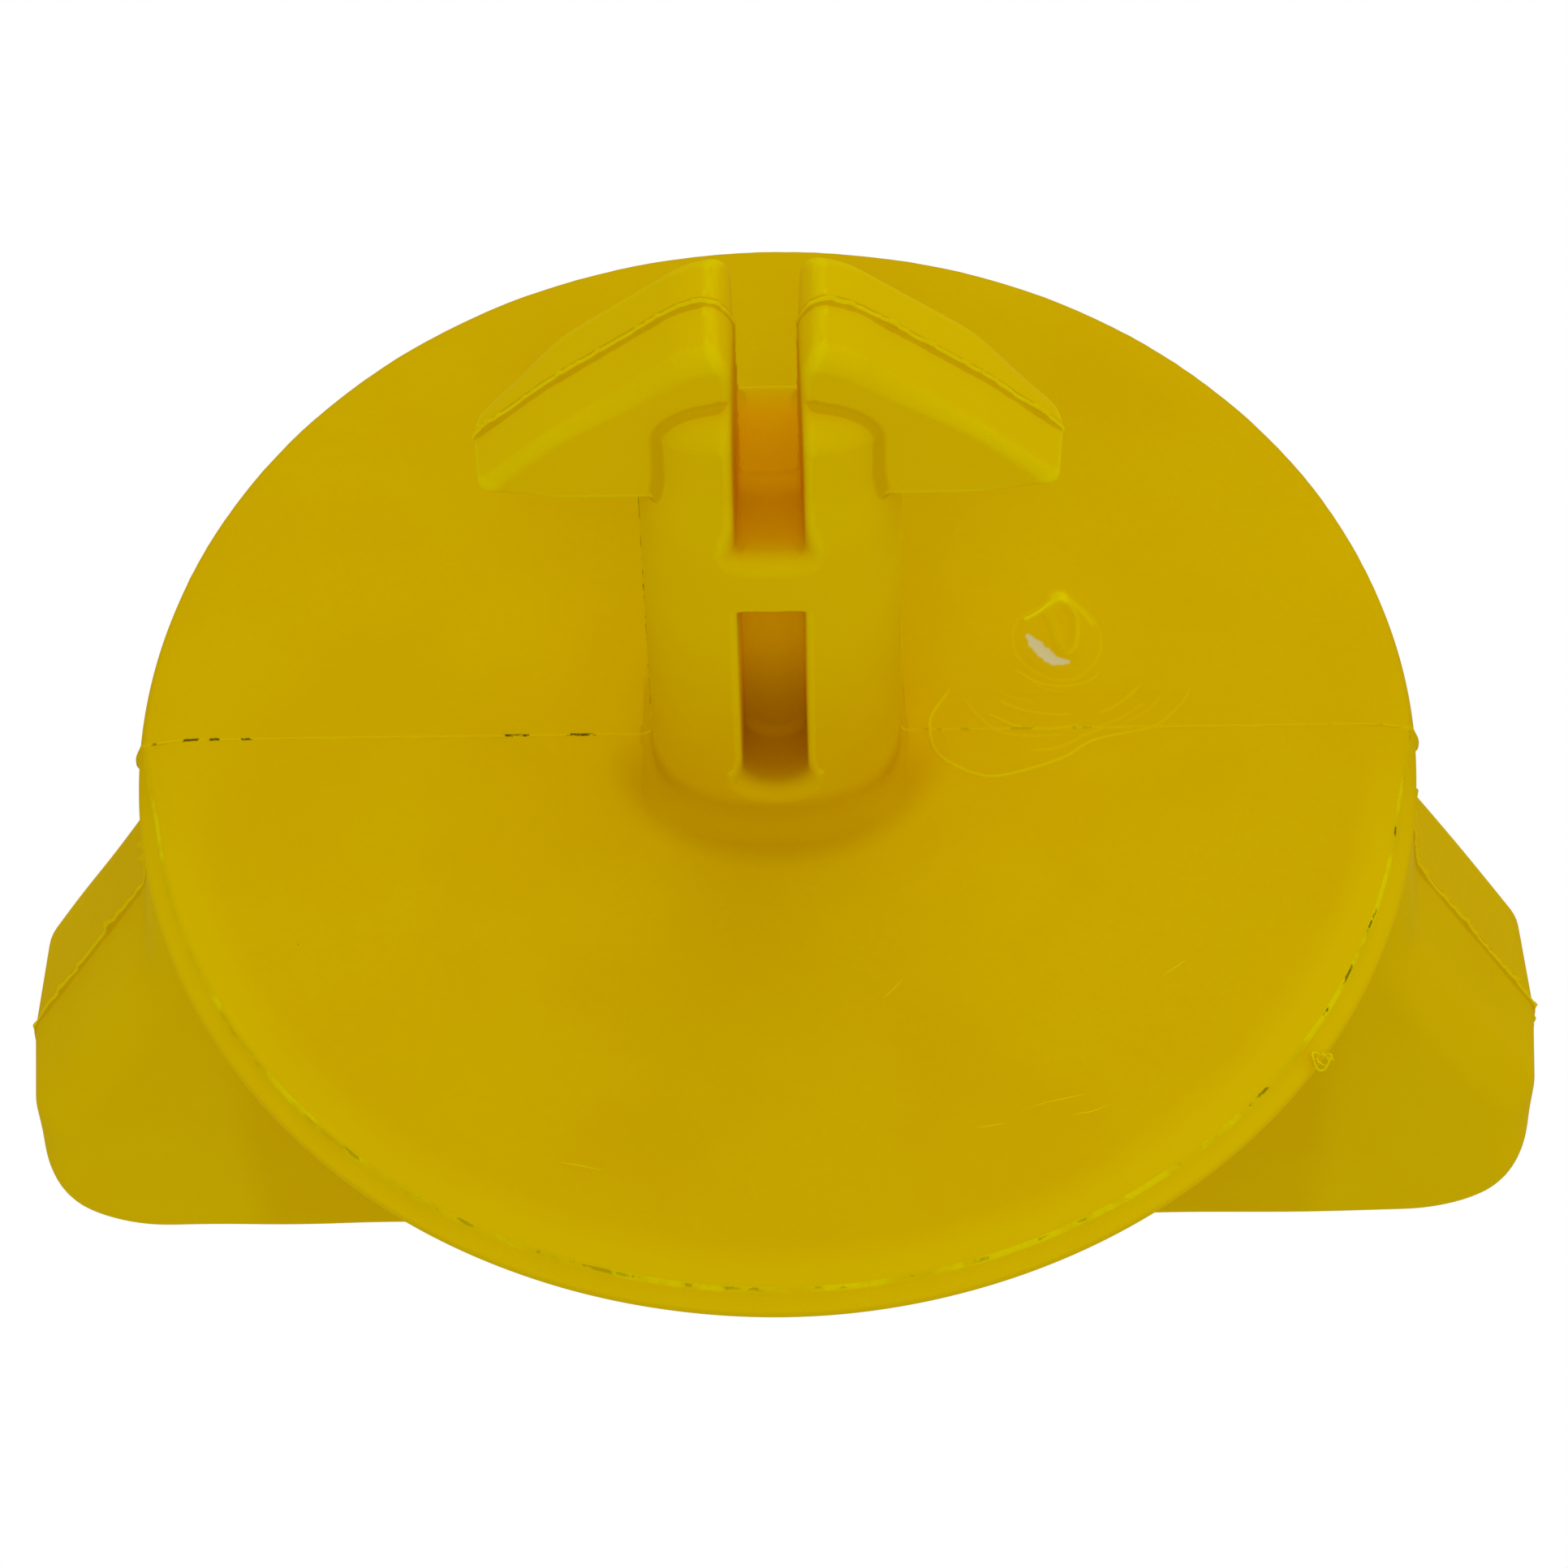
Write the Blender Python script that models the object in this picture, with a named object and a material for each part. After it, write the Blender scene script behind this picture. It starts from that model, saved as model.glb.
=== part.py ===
"""Clip-on insulator that holds an electric-fence wire off a steel T-post.

The real object is one injection moulding in yellow polyethylene. It is built here as its
named moulded features, each a closed solid with a small gap to its neighbours, so that the
features which flex in use (two clip arms and two wire prongs) can turn on their own axes.

Frame: +Z runs up along the post, the wire side faces -Y and X runs along the fence line.
The origin is the middle of the flat pad that bears on the front of the post's flange.
"""
import math

import bmesh
import bpy
from mathutils import Matrix, Vector

MM = 0.001
GAP = 0.3 * MM  # clearance between neighbouring solids
SAME_PLACE = 0.03 * MM  # two heights closer than this are the same
FULL_ROUND = 0.99  # share of a half width that a full round uses, so its arcs never meet

# The steel post: the flange of a standard studded T-post
FLANGE_WIDTH = 35.0 * MM
FLANGE_SIDE_CLEARANCE = 0.7 * MM
CHANNEL_DEPTH = 5.2 * MM

# Skirt disc
DISC_RADIUS = 25.4 * MM  # at the widest part of the rim
DISC_THICKNESS = 2.2 * MM
DISC_EDGE_BAND = 2.3 * MM
DISC_EDGE_DROP = 0.3 * MM
DISC_RIM_BULGE = 0.2 * MM  # how much the rim widens behind its front edge
DISC_RIM_WIDEST = 1.4 * MM  # how far behind the front edge the rim is widest
STAND_OFF = 20.0 * MM  # from the post pad's face to the front of the disc

DISC_SIDES = 96

# Stem: a rounded bar forward of the disc, with a pocket in its upper and lower sides
STEM_HALF_WIDTH = 4.9 * MM
STEM_HALF_HEIGHT = 4.3 * MM
STEM_ROUNDNESS = 2.5  # exponent of the superellipse section: 2 is an ellipse
STEM_LENGTH = 16.8 * MM
STEM_COLUMNS = 28
POCKET_WIDTH = 2.6 * MM
POCKET_START = 1.9 * MM
POCKET_END = 14.0 * MM
POCKET_WEB = 2.6 * MM  # solid left between the upper and lower pockets

# Forked nose: two prongs with swept wings, split by a slot
SLOT_WIDTH = 2.4 * MM
NOSE_REACH = 27.3 * MM
NOSE_SHOULDER_X = 3.3 * MM
WING_BACK = 18.8 * MM
WING_TIP_REACH = 20.7 * MM
WING_HALF_SPAN = 10.95 * MM
WING_HALF_HEIGHT = 2.35 * MM
PILLOW_REACH = 24.3 * MM
PILLOW_END_RADIUS = 1.2 * MM
TINE_COLUMNS = 12
NOSE_CORNER_RADIUS = 0.9 * MM
WING_TIP_FRONT_RADIUS = 2.0 * MM
WING_TIP_BACK_RADIUS = 0.8 * MM
WING_EDGE_RADIUS = 0.5 * MM

# Rear clip
CLIP_HALF_HEIGHT = 5.1 * MM
CLIP_EDGE_RADIUS = 1.5 * MM
ARM_OVERHANG = 0.35 * MM  # how far the arm's outer face stands past the disc's edge
ARM_THICKNESS = 4.5 * MM
ARM_STRAIGHT_LENGTH = 8.0 * MM
SIDE_WALL = 13.7 * MM  # beside the flange, from the channel's side to the outer face
FLARE_END_Y = 1.6 * MM
FLARE_RADIUS = 3.0 * MM
ARM_STEP_LENGTH = 3.2 * MM
ARM_STEP_BEFORE_SEAT = 0.8 * MM
CLAW_THICKNESS = 5.0 * MM
CLAW_GRIP = 6.5 * MM  # how far each claw reaches in behind the flange's edge
CLAW_CORNER_RADIUS = 4.6 * MM
CLAW_TIP_RADIUS = 2.0 * MM
CLAW_LEAD_RADIUS = 0.8 * MM
PAD_THICKNESS = 3.2 * MM
PAD_END_RADIUS = 1.0 * MM
PAD_EDGE_RADIUS = 0.8 * MM
PAD_END_CLEARANCE = 1.8 * MM
SPINE_HALF_WIDTH = 5.0 * MM

# Places that follow from the sizes above
DISC_FRONT_Y = -STAND_OFF
DISC_BACK_Y = DISC_FRONT_Y + DISC_THICKNESS
CHANNEL_HALF = FLANGE_WIDTH / 2 + FLANGE_SIDE_CLEARANCE
CLIP_OUTER_X = CHANNEL_HALF + SIDE_WALL
CLIP_REAR_Y = CHANNEL_DEPTH + CLAW_THICKNESS
ARM_OUTER_X = DISC_RADIUS + ARM_OVERHANG
ARM_INNER_X = ARM_OUTER_X - ARM_THICKNESS
ARM_HINGE_X = ARM_OUTER_X - ARM_THICKNESS / 2
ARM_HINGE_Y = DISC_BACK_Y + GAP + ARM_THICKNESS / 2
CLAW_TIP_X = FLANGE_WIDTH / 2 - CLAW_GRIP
PAD_HALF_WIDTH = min(CHANNEL_HALF, ARM_INNER_X) - PAD_END_CLEARANCE
SLOT_HALF = SLOT_WIDTH / 2
PRONG_HINGE_X = (SLOT_HALF + STEM_HALF_WIDTH) / 2
PRONG_HINGE_Y = DISC_FRONT_Y - STEM_LENGTH - GAP / 2
TINE_ROOT_Y = DISC_FRONT_Y - STEM_LENGTH - GAP

RIM_SEGMENTS = 3  # facets across a rounded rim
YELLOW = (0.58, 0.37, 0.005)
ROUGHNESS = 0.42
RIGHT = 1
LEFT = -1


def clear_scene():
    for old in list(bpy.data.objects):
        bpy.data.objects.remove(old)


def forward(reach):
    """The y of a point that stands this far forward of the disc's front face."""
    return DISC_FRONT_Y - reach


def moulded_plastic(name):
    """Each feature has its own copy of the one yellow plastic."""
    plastic = bpy.data.materials.new(name + "_plastic")
    plastic.use_nodes = True
    shader = plastic.node_tree.nodes["Principled BSDF"]
    shader.inputs["Base Color"].default_value = (*YELLOW, 1.0)
    shader.inputs["Roughness"].default_value = ROUGHNESS
    shader.inputs["Metallic"].default_value = 0.0
    return plastic


def add_object(name, bm, smooth_angle=35.0):
    """Turn a bmesh into a named object whose faces point out."""
    bmesh.ops.recalc_face_normals(bm, faces=bm.faces[:])
    mesh = bpy.data.meshes.new(name)
    bm.to_mesh(mesh)
    bm.free()
    mesh.shade_smooth()
    mesh.set_sharp_from_angle(angle=math.radians(smooth_angle))
    obj = bpy.data.objects.new(name, mesh)
    bpy.context.scene.collection.objects.link(obj)
    obj.data.materials.append(moulded_plastic(name))
    return obj


def hide_as_cutter(obj):
    obj.hide_render = True
    obj.display_type = "WIRE"


def rounded_outline(corners, step_degrees=15.0):
    """Corners are (x, y, radius). A corner with a radius becomes an arc between its sides."""
    points = []
    for index, (x, y, radius) in enumerate(corners):
        corner = Vector((x, y))
        before = Vector(corners[index - 1][:2]) - corner
        after = Vector(corners[(index + 1) % len(corners)][:2]) - corner
        if radius <= 0:
            points.append((x, y))
            continue
        half = before.angle(after) / 2
        setback = radius / math.tan(half)
        centre = corner + (before.normalized() + after.normalized()).normalized() * (
            radius / math.sin(half)
        )
        start = corner + before.normalized() * setback - centre
        sweep = start.angle_signed(corner + after.normalized() * setback - centre)
        count = max(2, math.ceil(abs(math.degrees(sweep)) / step_degrees))
        for part in range(count + 1):
            turn = Matrix.Rotation(-sweep * part / count, 2)
            points.append(tuple(centre + turn @ start))
    return points


def mirrored(corners, side):
    return [(side * x, y, radius) for x, y, radius in corners]


def plate(name, corners, half_height, edge_radius):
    """A flat piece: its outline seen from above, extruded up and down, with rounded rims."""
    bm = bmesh.new()
    outline = rounded_outline(corners)
    face = bm.faces.new([bm.verts.new((x, y, -half_height)) for x, y in outline])
    grown = bmesh.ops.extrude_face_region(bm, geom=[face])
    raised = [item for item in grown["geom"] if isinstance(item, bmesh.types.BMVert)]
    bmesh.ops.translate(bm, verts=raised, vec=(0, 0, 2 * half_height))
    bmesh.ops.recalc_face_normals(bm, faces=bm.faces[:])
    rims = [edge for edge in bm.edges if abs(edge.verts[0].co.z - edge.verts[1].co.z) < SAME_PLACE]
    bmesh.ops.bevel(
        bm,
        geom=rims,
        offset=edge_radius,
        segments=RIM_SEGMENTS,
        profile=0.5,
        affect="EDGES",
        clamp_overlap=True,
    )
    return add_object(name, bm)


def stem_half_height_at(x):
    """Height of the superellipse section above its middle, at this distance sideways."""
    share = max(0.0, 1 - abs(x / STEM_HALF_WIDTH) ** STEM_ROUNDNESS)
    return STEM_HALF_HEIGHT * share ** (1 / STEM_ROUNDNESS)


def stem_section(low_x, high_x, count):
    """The bar's section between two places across it, closed by flat sides where it is cut."""
    columns = []
    for index in range(count + 1):
        across = math.pi * index / count
        columns.append(low_x + (high_x - low_x) * (1 - math.cos(across)) / 2)
    top = [(x, stem_half_height_at(x)) for x in columns]
    bottom = [(x, -z) for x, z in reversed(top) if z > SAME_PLACE]
    return top + bottom


def bar_along_y(name, section, start_y, end_y, end_radius):
    """A section in X and Z carried straight along Y, with a rounded rim at its far end."""
    bm = bmesh.new()
    face = bm.faces.new([bm.verts.new((x, start_y, z)) for x, z in section])
    grown = bmesh.ops.extrude_face_region(bm, geom=[face])
    moved = [item for item in grown["geom"] if isinstance(item, bmesh.types.BMVert)]
    bmesh.ops.translate(bm, verts=moved, vec=(0, end_y - start_y, 0))
    bmesh.ops.recalc_face_normals(bm, faces=bm.faces[:])
    if end_radius > 0:
        rim = [e for e in bm.edges if all(abs(v.co.y - end_y) < SAME_PLACE for v in e.verts)]
        bmesh.ops.bevel(
            bm,
            geom=rim,
            offset=end_radius,
            segments=RIM_SEGMENTS,
            profile=0.5,
            affect="EDGES",
            clamp_overlap=True,
        )
    return add_object(name, bm)


def turned_about_y(name, profile, count):
    """A profile of (radius, y) turned about the Y axis. Its first and last points are poles."""
    bm = bmesh.new()
    rings = []
    for radius, y in profile[1:-1]:
        ring = []
        for index in range(count):
            angle = math.tau * index / count
            ring.append(bm.verts.new((radius * math.cos(angle), y, radius * math.sin(angle))))
        rings.append(ring)
    for near, far in zip(rings, rings[1:]):
        for index in range(count):
            after = (index + 1) % count
            bm.faces.new((near[index], near[after], far[after], far[index]))
    for ring, (_, y) in ((rings[0], profile[0]), (rings[-1], profile[-1])):
        pole = bm.verts.new((0, y, 0))
        for index in range(count):
            bm.faces.new((ring[index], ring[(index + 1) % count], pole))
    return add_object(name, bm)


def combine(target, other, operation, solver="EXACT"):
    modifier = target.modifiers.new(operation.lower() + "_" + other.name, "BOOLEAN")
    modifier.operation = operation
    modifier.solver = solver
    modifier.object = other
    hide_as_cutter(other)


def hinge_empty(name, x, y):
    empty = bpy.data.objects.new(name, None)
    empty.location = (x, y, 0)
    empty.empty_display_size = STEM_HALF_WIDTH
    bpy.context.scene.collection.objects.link(empty)
    return empty


def hang_on(empty, *pieces):
    """Put each piece's origin on the hinge and parent it there, without moving the piece."""
    for piece in pieces:
        piece.data.transform(Matrix.Translation(-Vector(empty.location)))
        piece.parent = empty


def build_disc():
    """A skirt disc with a flat front whose edge rolls back to a slightly bulging rim."""
    roll_steps = 4
    edge_radius = DISC_RADIUS - DISC_RIM_BULGE
    profile = [(0, DISC_FRONT_Y), (DISC_RADIUS / 2, DISC_FRONT_Y)]
    for step in range(roll_steps + 1):
        angle = math.pi / 2 * step / roll_steps
        radius = edge_radius - DISC_EDGE_BAND * (1 - math.sin(angle))
        profile.append((radius, DISC_FRONT_Y + DISC_EDGE_DROP * (1 - math.cos(angle))))
    profile.append((DISC_RADIUS, DISC_FRONT_Y + DISC_EDGE_DROP + DISC_RIM_WIDEST))
    profile.append((edge_radius, DISC_BACK_Y))
    profile.append((0, DISC_BACK_Y))
    return turned_about_y("disc", profile, DISC_SIDES)


def build_stem():
    """The bar between the disc and the fork, with a blind pocket above and below."""
    section = stem_section(-STEM_HALF_WIDTH, STEM_HALF_WIDTH, STEM_COLUMNS)
    stem = bar_along_y("stem", section, forward(GAP), forward(STEM_LENGTH), end_radius=0)
    half = POCKET_WIDTH / 2
    corners = [
        (-half, forward(POCKET_START), half * FULL_ROUND),
        (half, forward(POCKET_START), half * FULL_ROUND),
        (half, forward(POCKET_END), 0),
        (-half, forward(POCKET_END), 0),
    ]
    for level, label in ((1, "upper"), (-1, "lower")):
        cutter = plate("pocket_cutter_" + label, corners, STEM_HALF_HEIGHT / 2, 0)
        lift = POCKET_WEB / 2 + STEM_HALF_HEIGHT / 2
        cutter.data.transform(Matrix.Translation((0, 0, level * lift)))
        combine(stem, cutter, "DIFFERENCE")
    return stem


def nose_front_reach(x):
    """How far forward the swept front edge of the fork stands at this distance sideways."""
    share = (x - NOSE_SHOULDER_X) / (WING_HALF_SPAN - NOSE_SHOULDER_X)
    return NOSE_REACH + (WING_TIP_REACH - NOSE_REACH) * max(0.0, share)


def build_tine(side, label):
    """One half of the forked bar: a flat nose plate with the bar's rounded body through it."""
    outer = STEM_HALF_WIDTH
    corners = [
        (SLOT_HALF, TINE_ROOT_Y, 0),
        (outer, TINE_ROOT_Y, 0),
        (outer, forward(nose_front_reach(outer)), 0),
        (NOSE_SHOULDER_X, forward(NOSE_REACH), 0),
        (SLOT_HALF, forward(NOSE_REACH), NOSE_CORNER_RADIUS),
    ]
    name = label + "_tine"
    tine = plate(name, mirrored(corners, side), WING_HALF_HEIGHT, WING_EDGE_RADIUS)
    low, high = sorted((side * SLOT_HALF, side * outer))
    body = bar_along_y(
        name + "_body",
        stem_section(low, high, TINE_COLUMNS),
        TINE_ROOT_Y,
        forward(PILLOW_REACH),
        end_radius=PILLOW_END_RADIUS,
    )
    # the two solids share their root and slot planes, which the exact solver drops
    combine(tine, body, "UNION", solver="MANIFOLD")
    return tine


def build_wing(side, label):
    """The swept barb outside a tine. Its flat back keeps the wire from slipping forward."""
    inner = STEM_HALF_WIDTH + GAP
    corners = [
        (inner, forward(WING_BACK), 0),
        (WING_HALF_SPAN, forward(WING_BACK), WING_TIP_BACK_RADIUS),
        (WING_HALF_SPAN, forward(WING_TIP_REACH), WING_TIP_FRONT_RADIUS),
        (inner, forward(nose_front_reach(inner)), 0),
    ]
    return plate(label + "_wing", mirrored(corners, side), WING_HALF_HEIGHT, WING_EDGE_RADIUS)


def build_arm(side, label):
    """A clip arm: slim where it leaves the disc, then flared to wrap the flange's edge."""
    corners = [
        (ARM_INNER_X, ARM_HINGE_Y - ARM_THICKNESS / 2, ARM_THICKNESS / 2 * FULL_ROUND),
        (ARM_OUTER_X, ARM_HINGE_Y - ARM_THICKNESS / 2, ARM_THICKNESS / 2 * FULL_ROUND),
        (ARM_OUTER_X, DISC_BACK_Y + ARM_STRAIGHT_LENGTH, FLARE_RADIUS),
        (CLIP_OUTER_X, FLARE_END_Y, FLARE_RADIUS),
        (CLIP_OUTER_X, CHANNEL_DEPTH, 0),
        (CHANNEL_HALF, CHANNEL_DEPTH, 0),
        (CHANNEL_HALF, -ARM_STEP_BEFORE_SEAT, 0),
        (ARM_INNER_X, -ARM_STEP_BEFORE_SEAT - ARM_STEP_LENGTH, 0),
    ]
    return plate(
        label + "_spring_arm", mirrored(corners, side), CLIP_HALF_HEIGHT, CLIP_EDGE_RADIUS
    )


def build_claw(side, label):
    """The hook at an arm's end, which closes behind the flange."""
    grip_end = CHANNEL_HALF - GAP
    arm_face = CHANNEL_DEPTH + GAP
    corners = [
        (CLAW_TIP_X, CHANNEL_DEPTH, CLAW_LEAD_RADIUS),
        (grip_end, CHANNEL_DEPTH, 0),
        (grip_end, arm_face, 0),
        (CLIP_OUTER_X, arm_face, 0),
        (CLIP_OUTER_X, CLIP_REAR_Y, CLAW_CORNER_RADIUS),
        (CLAW_TIP_X, CLIP_REAR_Y, CLAW_TIP_RADIUS),
    ]
    return plate(label + "_claw", mirrored(corners, side), CLIP_HALF_HEIGHT, CLIP_EDGE_RADIUS)


def build_spine_and_pad():
    """The strut behind the disc, and the flat leaf on its end that bears on the post."""
    spine_corners = [
        (-SPINE_HALF_WIDTH, DISC_BACK_Y + GAP, 0),
        (SPINE_HALF_WIDTH, DISC_BACK_Y + GAP, 0),
        (SPINE_HALF_WIDTH, -PAD_THICKNESS - GAP, 0),
        (-SPINE_HALF_WIDTH, -PAD_THICKNESS - GAP, 0),
    ]
    plate("spine", spine_corners, CLIP_HALF_HEIGHT, CLIP_EDGE_RADIUS)
    pad_corners = [
        (-PAD_HALF_WIDTH, -PAD_THICKNESS, PAD_END_RADIUS),
        (PAD_HALF_WIDTH, -PAD_THICKNESS, PAD_END_RADIUS),
        (PAD_HALF_WIDTH, 0, 0),
        (-PAD_HALF_WIDTH, 0, 0),
    ]
    plate("post_pad", pad_corners, CLIP_HALF_HEIGHT, PAD_EDGE_RADIUS)


def build_side(side, label):
    arm_hinge = hinge_empty(label + "_arm_hinge", side * ARM_HINGE_X, ARM_HINGE_Y)
    hang_on(arm_hinge, build_arm(side, label), build_claw(side, label))
    prong_hinge = hinge_empty(label + "_prong_hinge", side * PRONG_HINGE_X, PRONG_HINGE_Y)
    tine = build_tine(side, label)
    body = bpy.data.objects[label + "_tine_body"]
    hang_on(prong_hinge, tine, body, build_wing(side, label))


clear_scene()
build_disc()
build_stem()
build_spine_and_pad()
build_side(LEFT, "left")
build_side(RIGHT, "right")
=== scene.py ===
# %% [markdown]
# # An electric-fence insulator in moulded yellow polyethylene
#
# The real object is one moulding. A skirt disc keeps the wire away from the post, a forked and
# winged nose holds the wire in front of it, and a clip behind it wraps the flange of a steel
# T-post. The solids that carry the sizes and the motion are loaded first. Every skin made here
# takes its place from them.

# %% Load the frame
import math

import bmesh
import bpy
import numpy as np
from mathutils import Matrix, Vector


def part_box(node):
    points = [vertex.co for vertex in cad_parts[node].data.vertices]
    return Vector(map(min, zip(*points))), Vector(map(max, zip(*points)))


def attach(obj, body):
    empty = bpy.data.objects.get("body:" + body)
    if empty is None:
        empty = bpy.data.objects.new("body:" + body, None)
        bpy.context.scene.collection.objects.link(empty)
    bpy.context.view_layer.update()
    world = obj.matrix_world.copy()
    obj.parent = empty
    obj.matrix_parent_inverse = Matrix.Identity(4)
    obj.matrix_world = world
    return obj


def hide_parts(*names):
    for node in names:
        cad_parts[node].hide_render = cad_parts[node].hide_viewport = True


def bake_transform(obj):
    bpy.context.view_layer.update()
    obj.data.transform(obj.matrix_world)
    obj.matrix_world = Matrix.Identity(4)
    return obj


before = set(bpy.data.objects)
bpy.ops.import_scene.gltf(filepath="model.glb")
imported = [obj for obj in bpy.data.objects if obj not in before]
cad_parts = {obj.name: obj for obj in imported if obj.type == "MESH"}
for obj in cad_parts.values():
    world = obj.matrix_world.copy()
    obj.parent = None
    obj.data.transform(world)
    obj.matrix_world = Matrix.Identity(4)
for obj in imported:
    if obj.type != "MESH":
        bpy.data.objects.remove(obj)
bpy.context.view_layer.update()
print("nodes:", sorted(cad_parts))

# %% [markdown]
# ## Sizes
#
# The shapes are worked out in millimetres, because a moulder thinks in them. The big sizes are
# read from the frame. The small ones, such as fillets, draft and flash, are the finish that the
# plain solids leave out, and each is named where it is first used.

# %% Read the big sizes from the frame
MM = 0.001


def box_mm(node):
    """A node's lowest and highest corners, in millimetres."""
    low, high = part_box(node)
    return np.array(low) / MM, np.array(high) / MM


disc_low, disc_high = box_mm("disc")
stem_low, stem_high = box_mm("stem")
tine_low, _ = box_mm("right_tine")
_, wing_high = box_mm("right_wing")
arm_low, arm_high = box_mm("right_spring_arm")
claw_low, claw_high = box_mm("right_claw")
pad_low, pad_high = box_mm("post_pad")
_, spine_high = box_mm("spine")

DISC_R = disc_high[0]
FRONT_Y = disc_low[1]
BACK_Y = disc_high[1]
STEM_HALF_W = stem_high[0]
STEM_HALF_H = stem_high[2]
SLOT_FLOOR_Y = stem_low[1]
SLOT_HALF = tine_low[0]
NOSE_Y = tine_low[1]
WING_BACK_Y = wing_high[1]
WING_HALF_H = wing_high[2]
WING_TIP_X = wing_high[0]
CLIP_HALF_H = arm_high[2]
CLIP_X = arm_high[0]
CHANNEL_X = arm_low[0]
CHANNEL_Y = arm_high[1]
CLAW_TIP_X = claw_low[0]
REAR_Y = claw_high[1]
PAD_HALF_W = pad_high[0]
PAD_BACK_Y = pad_low[1]
SPINE_HALF_W = spine_high[0]
print("disc radius %.2f, stem %.2f by %.2f, clip half width %.2f mm" %
      (DISC_R, STEM_HALF_W, STEM_HALF_H, CLIP_X))

# %% [markdown]
# ## Distances instead of faces
#
# A moulding has no sharp joints: every feature runs into the next through a fillet, and every
# edge is a little round. Filleting meshes by hand is slow and breaks when a size changes. So each
# thick feature is described by a distance instead: a number at every place in space, negative
# inside the plastic and positive outside. Distances are easy to combine. The larger of two is
# what both shapes share, the smaller is both together, and a quarter circle between the two gives
# the fillet.

# %% Helpers: outlines and rounded combinations


def arc_corners(corners, step_degrees=6.0):
    """An outline from corners (x, y, radius). Each radius becomes an arc that touches both sides.

    The arc's centre lies on the corner's bisector, radius / sin(half angle) away from the corner.
    """
    points = []
    for index, (x, y, radius) in enumerate(corners):
        corner = Vector((x, y))
        before = Vector(corners[index - 1][:2]) - corner
        after = Vector(corners[(index + 1) % len(corners)][:2]) - corner
        if radius <= 0:
            points.append((x, y))
            continue
        half = before.angle(after) / 2
        setback = radius / math.tan(half)
        bisector = (before.normalized() + after.normalized()).normalized()
        centre = corner + bisector * (radius / math.sin(half))
        start = corner + before.normalized() * setback - centre
        sweep = start.angle_signed(corner + after.normalized() * setback - centre)
        count = max(2, math.ceil(abs(math.degrees(sweep)) / step_degrees))
        for part in range(count + 1):
            points.append(tuple(centre + Matrix.Rotation(-sweep * part / count, 2) @ start))
    return np.array(points)


def outline_distance(points, u, v):
    """Signed distance from places (u, v) to a closed outline, negative inside.

    The distance is the least over all its sides, and a place is inside when a ray from it
    crosses the outline an odd number of times.
    """
    nearest = np.full(u.shape, np.inf)
    inside = np.zeros(u.shape, bool)
    for (au, av), (bu, bv) in zip(points, np.roll(points, -1, axis=0)):
        du, dv = bu - au, bv - av
        along = np.clip(((u - au) * du + (v - av) * dv) / (du * du + dv * dv + 1e-12), 0, 1)
        nearest = np.minimum(nearest, (u - au - along * du) ** 2 + (v - av - along * dv) ** 2)
        if dv != 0:
            inside ^= ((av > v) != (bv > v)) & (u < au + (v - av) * du / dv)
    return np.where(inside, -1.0, 1.0) * np.sqrt(nearest)


def both(a, b, radius):
    """What two shapes share, with the edge between them rounded to a radius."""
    corner = np.hypot(np.maximum(a + radius, 0), np.maximum(b + radius, 0))
    return np.minimum(np.maximum(a, b), -radius) + corner


def either(a, b, radius):
    """Two shapes together, with a fillet of a radius in the crease between them."""
    crease = np.hypot(np.maximum(radius - a, 0), np.maximum(radius - b, 0))
    return np.maximum(np.minimum(a, b), radius) - crease


def without(a, b, radius):
    """The first shape with the second cut out of it, and the cut's rim rounded."""
    return both(a, -b, radius)


def smoothstep(value, low, high):
    """0 below low, 1 above high, and a smooth S between them."""
    share = np.clip((value - low) / (high - low), 0, 1)
    return share * share * (3 - 2 * share)


def part_way(start, end, share):
    """The value a share of the way from start to end."""
    return start + (end - start) * share


def ripple(u, v, size, seed):
    """Smooth irregular waves between about -1 and 1: six sine waves in seeded directions."""
    rng = np.random.default_rng(seed)
    total = 0.0
    for _ in range(6):
        angle = rng.uniform(0, math.tau)
        length = size * rng.uniform(0.6, 1.7)
        phase = rng.uniform(0, math.tau)
        along = u * math.cos(angle) + v * math.sin(angle)
        total = total + np.sin(along * math.tau / length + phase)
    return total / 3.0


# %% [markdown]
# ## From distances to a skin
#
# A surface net turns a distance field into a mesh. Space is cut into small cells. Where a cell's
# eight corners aren't all inside or all outside, the skin passes through it, and the cell gets
# one vertex, at the mean of the places where the skin crosses its edges. Each crossed edge then
# gets one square face, between the four cells around it. The cells may have any size along each
# axis, so they are thin where the parting line's flash needs it. The skin's normals are the
# field's own slope, so two skins cut from one field meet without a visible seam.

# %% Helpers: the surface net


def sample_places(low, high, step, fine_at=None, fine_half=0.45, fine_step=0.055):
    """Places from low to high, a step apart, and closer together near fine_at."""
    places = np.arange(low, high + step, step)
    if fine_at is None:
        return places
    fine = np.arange(fine_at - fine_half, fine_at + fine_half + fine_step / 2, fine_step)
    rough = places[np.abs(places - fine_at) > fine_half + step / 2]
    return np.sort(np.concatenate([rough, fine]))


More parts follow.
